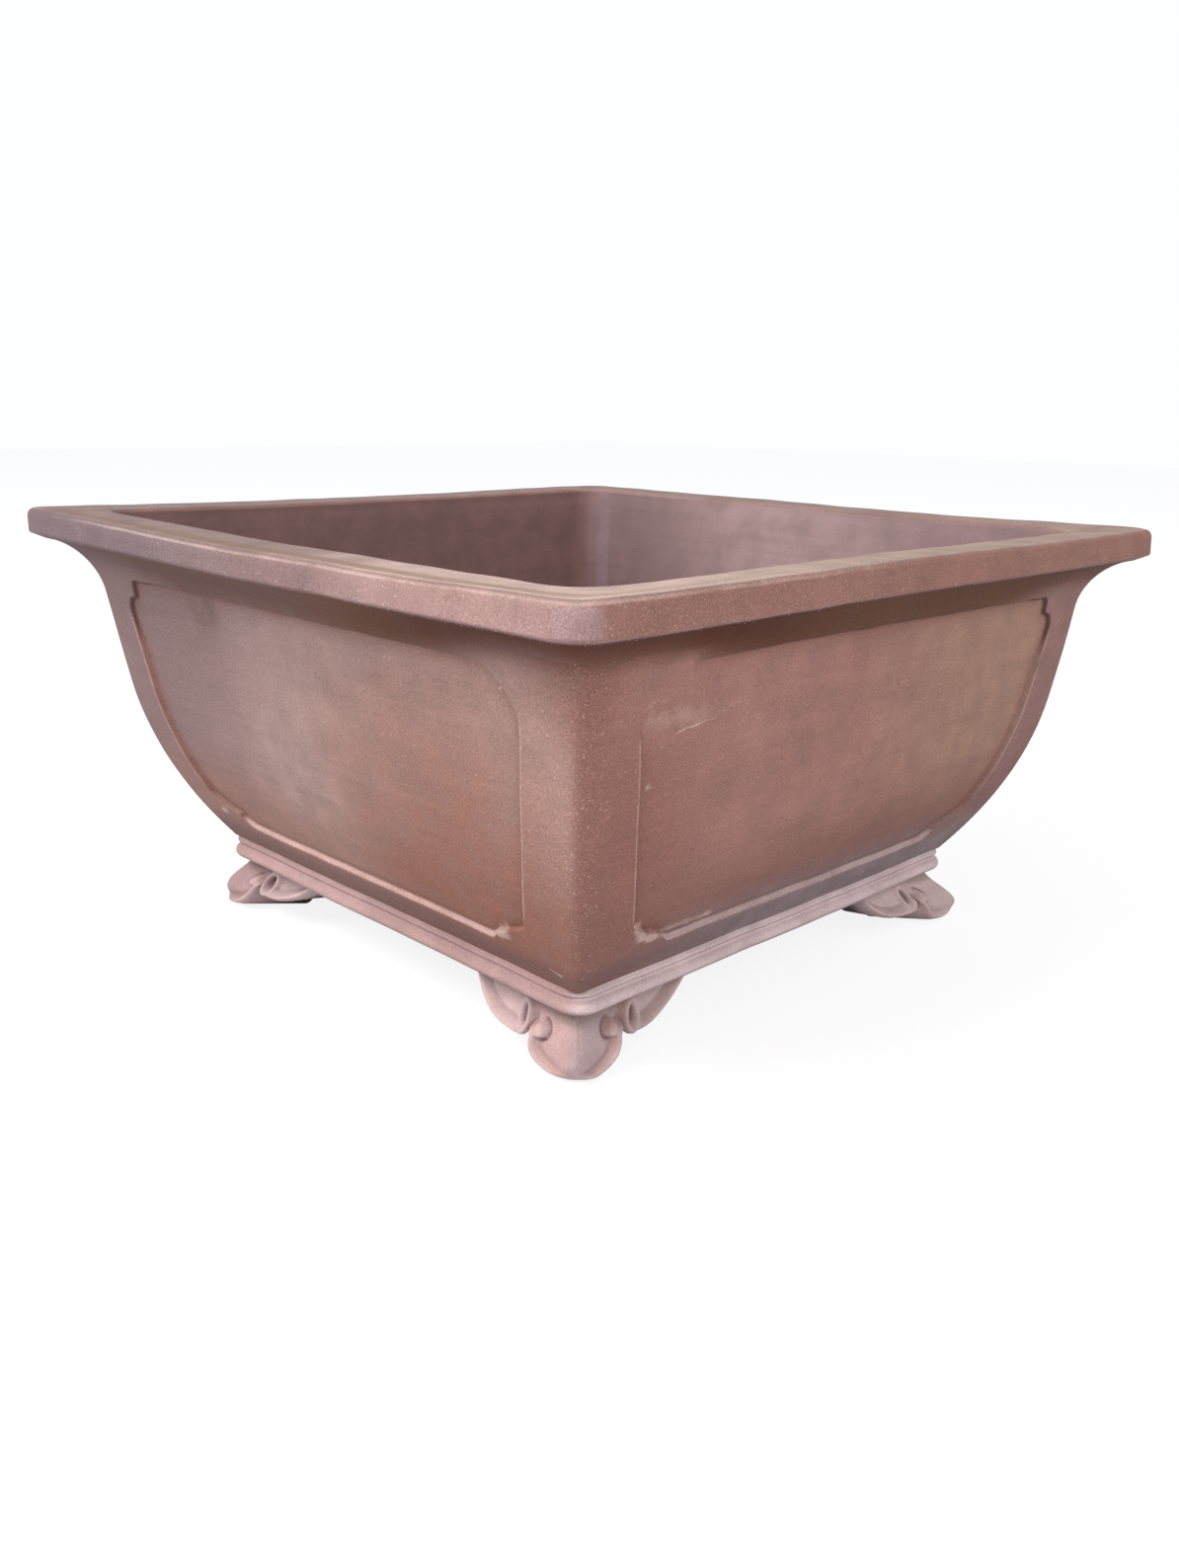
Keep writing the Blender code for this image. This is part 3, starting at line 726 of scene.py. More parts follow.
def half_outline(bulge):
    """The right half of the panel's outline: across and height, from the top to the bottom."""
    low, high = FLOOR_TOP + BOTTOM_RAIL, RIM_SEAM - TOP_RAIL
    wide_low, wide_high = outside(low) - STILE, outside(high) - STILE
    side_high, side_low = high - TOP_CORNER[1], low + BOTTOM_CORNER[1]
    heights = np.linspace(side_high, side_low, SIDE_POINTS)
    side = np.stack((outside(heights) - STILE, heights), -1)
    top_cusp = (wide_high - TOP_CUSP[0], high - TOP_CUSP[1])
    bottom_cusp = (wide_low - BOTTOM_CUSP[0], low + BOTTOM_CUSP[1])
    return np.vstack((
        spread((0, high), (wide_high - TOP_CORNER[0], high), OUTLINE_STEP),
        lobe((wide_high - TOP_CORNER[0], high), top_cusp, bulge),
        lobe(top_cusp, side[0], bulge),
        side[:-1],
        lobe(side[-1], bottom_cusp, bulge / 2),
        lobe(bottom_cusp, (wide_low - BOTTOM_CORNER[0], low), bulge / 2),
        spread((wide_low - BOTTOM_CORNER[0], low), (0, low), OUTLINE_STEP),
        ((0, low),),
    ))


left, right = [half_outline(bulge) for bulge in LOBE_BULGES]
PANEL = np.vstack((right, left[-2:0:-1] * (-1, 1)))[::-1]
PANEL[:, 1] = up_the_wall(PANEL[:, 1])
wobble = waves(np.column_stack((PANEL, np.zeros(len(PANEL)))), OUTLINE_WOBBLE[1], seed=4)
PANEL += OUTLINE_WOBBLE[0] * wobble[:, :2]
print("panel outline:", len(PANEL), "points,", round(np.ptp(PANEL[:, 0]) / MM), "mm wide")

# %% Slip
SMEAR_STEP = 0.8 * MM
# Rows of points along a smear, in widths from its middle.
SMEAR_ROWS = (-1.4, -0.7, 0, 0.7, 1.4)
SMEAR_PAST = 1.5
# Smears of slip on each wall: their path in mm across and up, width, thickness and strength.
SLIP = {
    "front": (
        (((102, 58), (106, 59)), 3.0 * MM, 2.4 * MM, 1.0),
        (((-114.5, 57), (-112, 57)), 2.2 * MM, 1.2 * MM, 0.8),
        (((123, 47.5), (128, 46)), 0.5 * MM, 0.1 * MM, 1.0),
        (((132, 164), (134, 166)), 0.7 * MM, 0.1 * MM, 0.7),
    ),
    "right": (
        (((117, 66), (112, 60), (104, 57.5)), 2.8 * MM, 0.8 * MM, 0.9),
        (((104, 57.5), (88, 57), (66, 56)), 2.2 * MM, 0.3 * MM, 0.5),
        (((136, 153.5), (122, 153), (106, 151.5)), 5.0 * MM, 0.0, 0.42),
        (((121.5, 146.4), (116, 147.9), (112, 147.8), (106, 149), (100, 149)), 0.5 * MM, 0.1 * MM, 0.75),
        (((106, 150), (98, 151), (88, 153.5)), 1.5 * MM, 0.0, 0.35),
        (((141, 158.5), (136, 160.5), (128, 160)), 1.2 * MM, 0.0, 0.35),
        (((132.5, 128.5), (132, 128.5)), 1.2 * MM, 0.2 * MM, 0.7),
    ),
}


def wall_path(path):
    """A path given in millimetres across and up, as it lies unrolled."""
    return np.array([(across * MM, up_the_wall(height * MM)) for across, height in path])


def smear_points():
    """Points along every smear and just beside it, close enough to show it."""
    rows = []
    for path, width, *_ in sum(SLIP.values(), ()):
        path = wall_path(path)
        path[0, 0] += SMEAR_PAST * width * np.sign(path[0, 0] - path[-1, 0])
        path[-1, 0] -= SMEAR_PAST * width * np.sign(path[0, 0] - path[-1, 0])
        for start, end in zip(path, path[1:]):
            middle = spread(start, end, SMEAR_STEP)
            rows += [middle + (0, beside * width) for beside in SMEAR_ROWS]
    return np.vstack(rows)


print("slip left on", {side: len(smears) for side, smears in SLIP.items()})

# %% Wall layout
# Distances from the panel's outline at which rings of points follow it, and how clear of it they stay.
RING_PLACES = np.array((-1.4, -0.9, -0.5, -0.2, 0.0, 0.25, 0.5, 0.8, 1.2, 1.7, 2.4, 3.2, 4.2)) * MM
RING_CLEAR = 0.97
ROW_STEP = 3.0 * MM
COLUMN_STEP = 3.5 * MM
CORNER_COLUMNS = 8
CLEAR_OF_RINGS = 5.0 * MM


def wall_reach(height):
    """Unrolled half-width of a wall, round its corner to the mitre."""
    radius = wall_corner(height)
    return outside(height) - radius + radius * math.pi / 4


def corner_shares():
    """Where columns cross the rounded corner, as shares of its arc."""
    return np.linspace(0, 1, CORNER_COLUMNS + 1)


def wall_loop():
    """Edge of a wall, unrolled and counted anticlockwise."""
    rows = np.linspace(0, curve_lengths[-1], round(curve_lengths[-1] / ROW_STEP) + 1)
    edges = []
    for length in (0.0, curve_lengths[-1]):
        height = height_at(length)
        start = outside(height) - wall_corner(height)
        middle = np.linspace(-start, start, round(float(2 * start) / COLUMN_STEP) + 1)
        bend = start + corner_shares()[1:-1] * wall_corner(height) * math.pi / 4
        across = np.concatenate((-bend[::-1], middle, bend))
        edges.append(np.stack((across, np.full_like(across, length)), -1))
    right = np.stack((wall_reach(height_at(rows)), rows), -1)
    left = right * (-1, 1)
    return np.vstack((edges[0], right, edges[1][::-1], left[::-1]))


def wall_inner_points():
    """Points inside a wall's edge: a grid, columns round the corners, rings along the panel, smears."""
    rows = np.arange(ROW_STEP, curve_lengths[-1] - ROW_STEP / 2, ROW_STEP)
    grid = []
    for row, length in enumerate(rows):
        height = height_at(length)
        start = float(outside(height) - wall_corner(height))
        middle = np.arange(-start, start, COLUMN_STEP) + COLUMN_STEP * (0.25 + 0.5 * (row % 2))
        middle = middle[np.abs(middle) < start - COLUMN_STEP / 3]
        bend = start + corner_shares()[:-1] * wall_corner(height) * math.pi / 4
        across = np.concatenate((-bend[::-1], middle, bend))
        grid.append(np.stack((across, np.full_like(across, length)), -1))
    grid = np.vstack(grid)
    grid = grid[distance(grid, PANEL, closed=True) > CLEAR_OF_RINGS]
    run = np.roll(PANEL, -1, axis=0) - np.roll(PANEL, 1, axis=0)
    left = np.stack((-run[:, 1], run[:, 0]), -1)
    left /= np.linalg.norm(left, axis=1, keepdims=True)
    rings = []
    for place in RING_PLACES:
        ring = PANEL + left * place
        rings.append(ring[distance(ring, PANEL, closed=True) > abs(place) * RING_CLEAR])
    return np.vstack((grid, *rings, smear_points()))


WALL_LOOP = wall_loop()
WALL_FRONT = filled(WALL_LOOP, wall_inner_points())
PANEL_DEPTH = distance(WALL_FRONT[0], PANEL, closed=True) * np.where(within(WALL_FRONT[0], PANEL), 1, -1)
print("wall front:", len(WALL_FRONT[0]), "points,", len(WALL_FRONT[1]), "triangles")

# %% [markdown]
# The finish is noted on the mesh while its shape is worked out, because the same distances decide
# both: painted shade on the riser of the panel's step, its crest, pale from wear and a painted
# highlight, the margin inside it, a painted highlight on the ledge below, sand at the corners,
# painted shade and soot under the rim. Vertex paint could do it by hand, but would be lost with
# each new mesh. The potter also left slip in some corners and rubbed one out.

# %% Wall finish
SIDE_STEP = (-0.3 * MM, 1.2 * MM)
LEDGE_STEP = (-0.9 * MM, 3.2 * MM)
RUBBED_STEP = (-10 * MM, 12 * MM)
LEDGE_BAND = (3 * MM, 9 * MM)
# Where the painted shade and soot under the rim start and are full, and how much higher they start towards
# the ends.
UNDER_RIM = (149 * MM, 188 * MM)
UNDER_ENDS = (60 * MM, 150 * MM, 13 * MM)
# The cusp at the panel's upper left is cut wider than the rest of its step.
EAR = (140 * MM, 158 * MM)
EAR_SIDE = (-110 * MM, -125 * MM)
EAR_WIDER = 1.2 * MM
# Distances from the front right corner between which the sand comes up.
SAND_SHOWN = (320 * MM, 70 * MM)
# The corner that was rubbed out: its place across and up, and where that begins and ends.
RUBBED = {"right": ((134 * MM, 166 * MM), 12 * MM, 24 * MM)}
# How long the waves in a smear's edge are, and how far they reach, in its widths.
SLIP_WAVE = 7 * MM
SLIP_RAGGED = 0.25


def bell(distances, middle, width):
    """A soft bell, 1 at the middle."""
    return np.exp(-((distances - middle) / width) ** 2)


def under_rim(heights, across):
    """How far places lie in the shade and soot under the rim, which reach less far down at the ends."""
    start, end, higher = UNDER_ENDS
    return ease(*UNDER_RIM, heights - higher * ease(start, end, np.abs(across)))


def sand_left(points):
    """How much of its sand a place shows: all near the front right corner, less where it was sponged off."""
    return ease(*SAND_SHOWN, np.linalg.norm(points[:, :2] - (RIM_HALF, -RIM_HALF), axis=1))


def panel_step(side, soft):
    """How far down the panel's step each point of a wall's front lies, from 0 to 1, and how crisp it is."""
    start = SIDE_STEP[0] + (LEDGE_STEP[0] - SIDE_STEP[0]) * soft
    end = SIDE_STEP[1] + (LEDGE_STEP[1] - SIDE_STEP[1]) * soft
    flat = WALL_FRONT[0]
    end = end + EAR_WIDER * ease(*EAR, height_at(flat[:, 1])) * ease(*EAR_SIDE, flat[:, 0])
    step = ease(start, end, PANEL_DEPTH)
    if side not in RUBBED:
        return step, np.ones(len(step))
    (across, height), near, far = RUBBED[side]
    crisp = ease(near, far, np.linalg.norm(WALL_FRONT[0] - (across, up_the_wall(height)), axis=1))
    return step * crisp + ease(*RUBBED_STEP, PANEL_DEPTH) * (1 - crisp), crisp


def wall_slip(side):
    """Where slip was left on a wall's front, from 0 to 1, with an uneven edge, and how thick."""
    flat = WALL_FRONT[0]
    uneven = waves(np.column_stack((flat, np.zeros(len(flat)))), SLIP_WAVE, seed=5)[:, 0]
    slip, raised = np.zeros(len(flat)), np.zeros(len(flat))
    for path, width, thickness, strength in SLIP.get(side, ()):
        off = distance(flat, wall_path(path)) + SLIP_RAGGED * width * uneven
        here = bell(np.maximum(off, 0), 0, width)
        slip = np.maximum(slip, strength * here)
        raised = np.maximum(raised, thickness * here)
    return slip, raised


print("soot under the rim from", round(UNDER_RIM[0] / MM), "mm up")

# %% Wall relief
LEDGE_DEEPER = 0.35
DEEPER_BELOW = 40 * MM
# Where the painted shade in the crease above the ledge lies inside the step, and how wide it is.
CREASE = (3.8 * MM, 1.1 * MM)
# The crest of the step, pale from wear and a painted highlight: its place and width, and where it fades below
# and above.
CREST = (-0.5 * MM, 0.5 * MM)
CREST_LOW = (15 * MM, 30 * MM)
CREST_HIGH = (-12 * MM, -25 * MM)
MARGIN = (0.2 * MM, 1.4 * MM)
MARGIN_FADE = 5 * MM
# Sand along the arris: how much, and how far from it.
ARRIS_SAND = ((0.8, 9 * MM), (0.25, 30 * MM))
SAND_LOW = (40 * MM, 90 * MM)
# Sand on the crest and under the rim, its limits, and what a sponge takes off the plain clay.
CREST_SAND = 0.3
UNDER_SAND = -1.3
SAND_LIMITS = (-0.8, 1)
SPONGED = 0.25
# How dark the painted shade on the step's riser is low down, beside its dark top.
RISER_LOW = 0.25


def wall_relief(side):
    """How deep each point of a wall's front lies, and the notes on its finish."""
    flat = WALL_FRONT[0]
    height = height_at(flat[:, 1])
    low = PANEL[:, 1].min()
    soft = 1 - ease(low + LEDGE_BAND[0], low + LEDGE_BAND[1], flat[:, 1])
    step, crisp = panel_step(side, soft)
    slip, raised = wall_slip(side)
    deeper = 1 + LEDGE_DEEPER * (1 - ease(low, low + DEEPER_BELOW, flat[:, 1]))
    edge = 4 * step * (1 - step) * crisp
    upright = ease(low + CREST_LOW[0], low + CREST_LOW[1], flat[:, 1])
    upright = upright * ease(*CREST_HIGH, flat[:, 1] - PANEL[:, 1].max())
    crest = bell(PANEL_DEPTH, *CREST) * upright * crisp
    margin = ease(*MARGIN, PANEL_DEPTH) * np.exp(-np.maximum(PANEL_DEPTH, 0) / MARGIN_FADE)
    from_arris = wall_reach(height) - np.abs(flat[:, 0])
    arris = sum(much * bell(from_arris, 0, width) for much, width in ARRIS_SAND)
    under = under_rim(height, flat[:, 0]) * (1 - step)
    sandy = arris * ease(*SAND_LOW, height) + CREST_SAND * crest + UNDER_SAND * under
    notes = {
        # The margin: dirt and painted shade inside the step.
        "margin": margin * (1 - soft) * crisp,
        # Painted shade on the step's riser, strongest near the top.
        "riser": edge * (1 - soft) * (RISER_LOW + (1 - RISER_LOW) * ease(*EAR, height)),
        "crease": bell(PANEL_DEPTH, *CREASE) * soft,
        "crest": crest,
        # Painted highlight on the ledge.
        "ledge": edge * soft,
        "slip": slip,
        "under": under,
        "proud": 1 - step,
        "sandy": np.clip(sandy, *SAND_LIMITS),
    }
    return step * deeper * PANEL_SINK - raised, notes


print("panel sunk", round(PANEL_SINK / MM, 1), "mm")

# %% Wall pieces
INNER_GRID = 7 * MM
NUDGE = 0.1 * MM
MIRRORED = ("right", "left")


def on_wall(flat, sink):
    """The place of unrolled points on the front wall, sunk level into it."""
    height = height_at(flat[:, 1])
    radius = wall_corner(height)
    start = outside(height) - radius
    bend = np.clip((np.abs(flat[:, 0]) - start) / radius, 0, math.pi / 4)
    past = np.abs(flat[:, 0]) > start
    across = np.where(past, start + radius * np.sin(bend), np.abs(flat[:, 0]))
    out = np.where(past, start + radius * np.cos(bend), outside(height))
    return np.stack((np.sign(flat[:, 0]) * across, sink - out, height), -1)


def wall_back():
    """The inside of a wall, its edge matching the front's point for point."""
    height = height_at(WALL_LOOP[:, 1])
    loop = np.stack((WALL_LOOP[:, 0] / wall_reach(height) * inside(height), WALL_LOOP[:, 1]), -1)
    across = np.arange(-RIM_HALF, RIM_HALF, INNER_GRID)
    along = np.arange(INNER_GRID, curve_lengths[-1] - 2 * MM, INNER_GRID)
    grid = np.stack(np.meshgrid(across, along), -1).reshape(-1, 2)
    grid = grid[np.abs(grid[:, 0]) < inside(height_at(grid[:, 1])) - INNER_GRID / 2]
    flat, faces, order = filled(loop, grid)
    height = height_at(flat[:, 1])
    return np.stack((flat[:, 0], -inside(height), height), -1), faces[:, ::-1], order


back_points, back_faces, back_order = wall_back()
front_count = len(WALL_FRONT[0])
wall_skin = np.vstack((WALL_FRONT[1], back_faces + front_count))
wall_edge = joined(WALL_FRONT[2], back_order + front_count)
seam_slope = float((outside(RIM_SEAM + NUDGE) - outside(RIM_SEAM - NUDGE)) / (2 * NUDGE))
walls = []
for quarter, side in enumerate(SIDES):
    sink, notes = wall_relief(side)
    points = np.vstack((on_wall(WALL_FRONT[0], sink), back_points))
    skin, edge = wall_skin, wall_edge
    if side in MIRRORED:
        points = points * (-1, 1, 1)
        skin, edge = skin[:, ::-1], edge[:, ::-1]
    notes = {note: np.concatenate((values, np.zeros(len(back_points)))) for note, values in notes.items()}
    notes["inner"] = np.arange(len(points)) >= front_count
    shown = sand_left(turned(points, quarter))
    notes["sandy"] = np.where(notes["inner"], -1, notes["sandy"] * shown - SPONGED * (1 - shown))
    steep = np.full(len(points), np.nan)
    steep[:front_count][np.abs(points[:front_count, 2] - RIM_SEAM) < TOUCH] = seam_slope
    wall = make_piece("stoneware_wall_" + side, points, skin, edge, WALL_CLAY, quarter, notes, steep)
    stands_for(wall, "wall_" + side)
    walls.append(wall)
print("walls:", len(walls), "of", len(walls[0].data.polygons), "triangles each")

# %% [markdown]
# ## Rim
# The rim strip has a flat top, an upright band and a hollow underside that runs into the wall.
# Its outside corner is tighter than the corner of its mouth, which no sweep along one path can
# give, so its section is written as points that carry their own corner radius, and a loop takes
# the section from mitre to mitre.

# %% Rim section
BRIM_ROUND = 3.4 * MM
MOUTH_ROUND = 3.0 * MM
LIP_ROUND = 1.0 * MM
RIM_STEP = 2.5 * MM
RIM_CORNER_STEPS = 10
# Points or steps along each part of the section, and the angles where the cove stops and the lip begins.
RIM_POINTS = {"cove": 14, "lip": 5, "band": 5, "brim": 7, "top": 8, "mouth": 8, "inner": 6}
COVE_STOP = 0.12
LIP_START = -70
MOUTH_ON_TOP = 6


def arc(centre, radius, start, end, steps):
    """Points of an arc in a section, from one angle to another in degrees."""
    angles = np.radians(np.linspace(start, end, steps + 1))
    return [(centre[0] + radius * math.cos(a), centre[1] + radius * math.sin(a)) for a in angles]


def rim_section():
    """The rim's section, anticlockwise from the seam: (half-width, height, corner radius, where it is)."""
    bottom = POT_TOP - RIM_BAND
    start = math.acos((RIM_SEAM - COVE_TOP + COVE_DROP) / COVE_DROP)
    climb = np.linspace(start, COVE_STOP, RIM_POINTS["cove"])
    section = []
    for height in COVE_TOP - COVE_DROP + COVE_DROP * np.cos(climb):
        share = (height - RIM_SEAM) / (COVE_TOP - RIM_SEAM)
        radius = wall_corner(RIM_SEAM) + (RIM_CORNER - LIP_WIDTH - wall_corner(RIM_SEAM)) * share
        section.append((float(outside(height)), height, radius, "under"))
    lip = arc((RIM_HALF - LIP_ROUND, bottom + LIP_ROUND), LIP_ROUND, LIP_START, 0, RIM_POINTS["lip"])
    section += [(half, height, RIM_CORNER - RIM_HALF + half, "lip") for half, height in lip]
    for height in np.linspace(bottom + LIP_ROUND, POT_TOP - BRIM_ROUND, RIM_POINTS["band"])[1:-1]:
        section.append((RIM_HALF, height, RIM_CORNER, "band"))
    brim = arc((RIM_HALF - BRIM_ROUND, POT_TOP - BRIM_ROUND), BRIM_ROUND, 0, 90, RIM_POINTS["brim"])
    section += [(half, height, RIM_CORNER - RIM_HALF + half, "brim") for half, height in brim]
    for half in np.linspace(RIM_HALF - BRIM_ROUND, MOUTH_HALF + MOUTH_ROUND, RIM_POINTS["top"])[1:-1]:
        share = (half - MOUTH_HALF) / RIM_WIDTH
        section.append((half, POT_TOP, MOUTH_CORNER + (RIM_CORNER - MOUTH_CORNER) * share, "top"))
    centre = (MOUTH_HALF + MOUTH_ROUND, POT_TOP - MOUTH_ROUND)
    mouth = arc(centre, MOUTH_ROUND, 90, 180, RIM_POINTS["mouth"])
    section += [(half, height, MOUTH_CORNER, "top") for half, height in mouth[:MOUTH_ON_TOP]]
    section += [(half, height, MOUTH_CORNER, "inner") for half, height in mouth[MOUTH_ON_TOP:]]
    for height in np.linspace(POT_TOP - MOUTH_ROUND, RIM_SEAM, RIM_POINTS["inner"])[1:]:
        section.append((float(inside(height)), height, MOUTH_CORNER, "inner"))
    return section


RIM_ROWS = rim_section()
print("rim section:", len(RIM_ROWS), "points")

# %% Rim pieces
DUST = (MOUTH_HALF + 13 * MM, MOUTH_HALF + 22 * MM)
# The brim's pale edge, wear and a painted highlight: its height and width.
BRIM_WEAR_AND_HIGHLIGHT = (POT_TOP - 1.2 * MM, 0.5 * MM)
# Sand on each part of the rim, and the share of it that is left where the clay was sponged.
RIM_SAND_KEPT = 0.3
RIM_SAND = {"under": -0.9, "lip": 1.0, "band": 0.55, "brim": 0.6, "top": 0.0, "inner": -1.0}


def side_row(half, height, radius, step, corner_steps, past=0):
    """Points along the front side at one level, from the left mitre to the right one, and some steps past."""
    start = half - radius
    bend = np.arange(1, corner_steps + past + 1) * math.pi / 4 / corner_steps
    middle = np.linspace(-1, 1, round(2 * RIM_HALF / step) + 1) * start
    right = np.stack((start + radius * np.sin(bend), -start - radius * np.cos(bend)), -1)
    plan = np.vstack((right[::-1] * (-1, 1), np.stack((middle, np.full_like(middle, -half)), -1), right))
    return np.column_stack((plan, np.full(len(plan), height)))


def end_caps(section, columns):
    """Faces that close the two ends of a swept section."""
    faces = filled([row[:2] for row in section])[1]
    return np.vstack((faces[:, ::-1] * columns, faces * columns + columns - 1))


rim_points = np.vstack([side_row(*row[:3], RIM_STEP, RIM_CORNER_STEPS) for row in RIM_ROWS])
rim_columns = len(rim_points) // len(RIM_ROWS)
rim_skin = grid_faces(len(RIM_ROWS), rim_columns)
rim_joint = grid_faces(2, rim_columns)
last_row = (len(RIM_ROWS) - 1) * rim_columns
rim_joint = np.where(rim_joint < rim_columns, rim_joint + last_row, rim_joint - rim_columns)
rim_caps = np.vstack((rim_joint, end_caps(RIM_ROWS, rim_columns)))
rim_steep = np.full(len(rim_points), np.nan)
rim_steep[:rim_columns] = seam_slope
rim_below = np.repeat([row[3] == "under" for row in RIM_ROWS], rim_columns)
rim_notes = {
    # Painted shade and soot under the rim.
    "under": under_rim(rim_points[:, 2], rim_points[:, 0]) * rim_below,
    "inner": np.repeat([row[3] == "inner" for row in RIM_ROWS], rim_columns),
    "sandy": np.repeat([RIM_SAND[row[3]] for row in RIM_ROWS], rim_columns),
    "dust": np.repeat([ease(*DUST, row[0]) * (row[3] == "top") for row in RIM_ROWS], rim_columns),
    "worn": np.repeat([bell(row[1], *BRIM_WEAR_AND_HIGHLIGHT) * (row[3] == "brim") for row in RIM_ROWS], rim_columns),
}
rims = []
for quarter, side in enumerate(SIDES):
    shown = sand_left(turned(rim_points, quarter))
    kept = RIM_SAND_KEPT + (1 - RIM_SAND_KEPT) * shown
    notes = {**rim_notes, "sandy": rim_notes["sandy"] * kept - SPONGED * (1 - shown)}
    rim = make_piece("stoneware_rim_" + side, rim_points, rim_skin, rim_caps,
                     RIM_CLAY, quarter, notes, rim_steep)
    stands_for(rim, "rim_strip_" + side)
    rims.append(rim)
print("rim strips:", len(rims), "of", len(rims[0].data.polygons), "triangles each")

# %% [markdown]
# ## Base bead
# Between wall and feet runs a moulding: a half-round torus, a thin groove and a small fillet. It is
# one profile drawn along a path, which is what Geometry Nodes does well. The path is the edge of
# the floor, one step longer than the mitres at both ends; the tree cuts the sweep at the mitres.

# %% Bead profile
BEAD_HEIGHT = FLOOR_TOP - FLOOR_LOW
BEAD_CORNER = 6 * MM
BEAD_INPUTS = {"Height": BEAD_HEIGHT, "Torus": 5.8 * MM, "Fillet": 4.4 * MM, "Groove": 3.2 * MM}
# Middle and half-length of each part of the moulding, as shares of its height from the bottom.
TORUS_SPAN, FILLET_SPAN = (0.33, 0.33), (0.83, 0.17)
BEAD_SOFTNESS = 1.6 * MM
BEAD_POINTS = 49
BEAD_STEP = 5 * MM
BEAD_CORNER_STEPS = 10
BEAD_SAND = 0.25


def bead_profile(tree, sizes):
    """The moulding's section: out from the floor's edge, and up, which a sweep counts downwards."""
    line = add(tree, "GeometryNodeCurvePrimitiveLine").outputs[0]
    line = add(tree, "GeometryNodeResampleCurve", {"Curve": line, "Count": BEAD_POINTS}).outputs[0]
    place = add(tree, "GeometryNodeSplineParameter").outputs["Factor"]
    out = calc(tree, "MULTIPLY", calc(tree, "GREATER_THAN", place, 0.5), sizes["Groove"])
    for (middle, half), size in ((TORUS_SPAN, "Torus"), (FILLET_SPAN, "Fillet")):
        off = mapped(tree, place, middle - half, middle + half, -1.0, 1.0)
        left = calc(tree, "SUBTRACT", 1.0, calc(tree, "MULTIPLY", off, off))
        swell = calc(tree, "MULTIPLY", calc(tree, "SQRT", left), sizes[size])
        out = calc(tree, "SMOOTH_MAX", out, swell, BEAD_SOFTNESS)
    down = calc(tree, "MULTIPLY", calc(tree, "MULTIPLY", place, sizes["Height"]), -1.0)
    spot = add(tree, "ShaderNodeCombineXYZ", {0: out, 1: down}).outputs[0]
    line = add(tree, "GeometryNodeSetPosition", {"Geometry": line, "Position": spot}).outputs[0]
    return add(tree, "GeometryNodeSetSplineCyclic", {"Geometry": line, "Cyclic": True}).outputs[0]


print("bead height:", round(BEAD_HEIGHT / MM, 1), "mm")


# %% Bead tree
def node_tree(name, sizes, material_name):
    """A new tree with a geometry input, an input for each size and one for a material."""
    tree = bpy.data.node_groups.new(name, "GeometryNodeTree")
    tree.interface.new_socket("Geometry", in_out="OUTPUT", socket_type="NodeSocketGeometry")
    tree.interface.new_socket("Geometry", in_out="INPUT", socket_type="NodeSocketGeometry")
    for size in sizes:
        tree.interface.new_socket(size, in_out="INPUT", socket_type="NodeSocketFloat")
    tree.interface.new_socket(material_name, in_out="INPUT", socket_type="NodeSocketMaterial")
    return tree, add(tree, "NodeGroupInput").outputs


def node_mesh(tree, mesh, values):
    """What a node tree makes of a mesh, its inputs set before it is first worked out."""
    maker = bpy.data.objects.new(tree.name, mesh)
    bpy.context.scene.collection.objects.link(maker)
    modifier = maker.modifiers.new(tree.name, "NODES")
    modifier.node_group = tree
    for socket in tree.interface.items_tree:
        if socket.in_out == "INPUT" and socket.name in values:
            modifier[socket.identifier] = values[socket.name]
    made = bpy.data.meshes.new_from_object(maker.evaluated_get(bpy.context.evaluated_depsgraph_get()))
    maker.modifiers.remove(modifier)
    bpy.data.objects.remove(maker)
    return made


bead_tree, given = node_tree("base bead", BEAD_INPUTS, "Clay")
path = add(bead_tree, "GeometryNodeMeshToCurve", {"Mesh": given["Geometry"]}).outputs[0]
path = add(bead_tree, "GeometryNodeSetCurveNormal", {"Curve": path}, mode="Z_UP").outputs[0]
ends = {"Curve": path, "Profile Curve": bead_profile(bead_tree, given)}
swept = add(bead_tree, "GeometryNodeCurveToMesh", ends).outputs[0]
middle = add(bead_tree, "GeometryNodeInputPosition").outputs[0]
middle = add(bead_tree, "ShaderNodeVectorMath", {0: middle}, operation="ABSOLUTE").outputs[0]
reach = add(bead_tree, "ShaderNodeSeparateXYZ", {0: middle}).outputs
past = calc(bead_tree, "GREATER_THAN", reach[0], reach[1])
cut = {"Geometry": swept, "Selection": past}
swept = add(bead_tree, "GeometryNodeDeleteGeometry", cut, domain="FACE").outputs[0]
solid = add(bead_tree, "GeometryNodeRealizeInstances", {"Geometry": swept}).outputs[0]
clad = add(bead_tree, "GeometryNodeSetMaterial", {"Geometry": solid, "Material": given["Clay"]}).outputs[0]
add(bead_tree, "NodeGroupOutput", {0: clad})
print("bead tree:", len(bead_tree.nodes), "nodes")


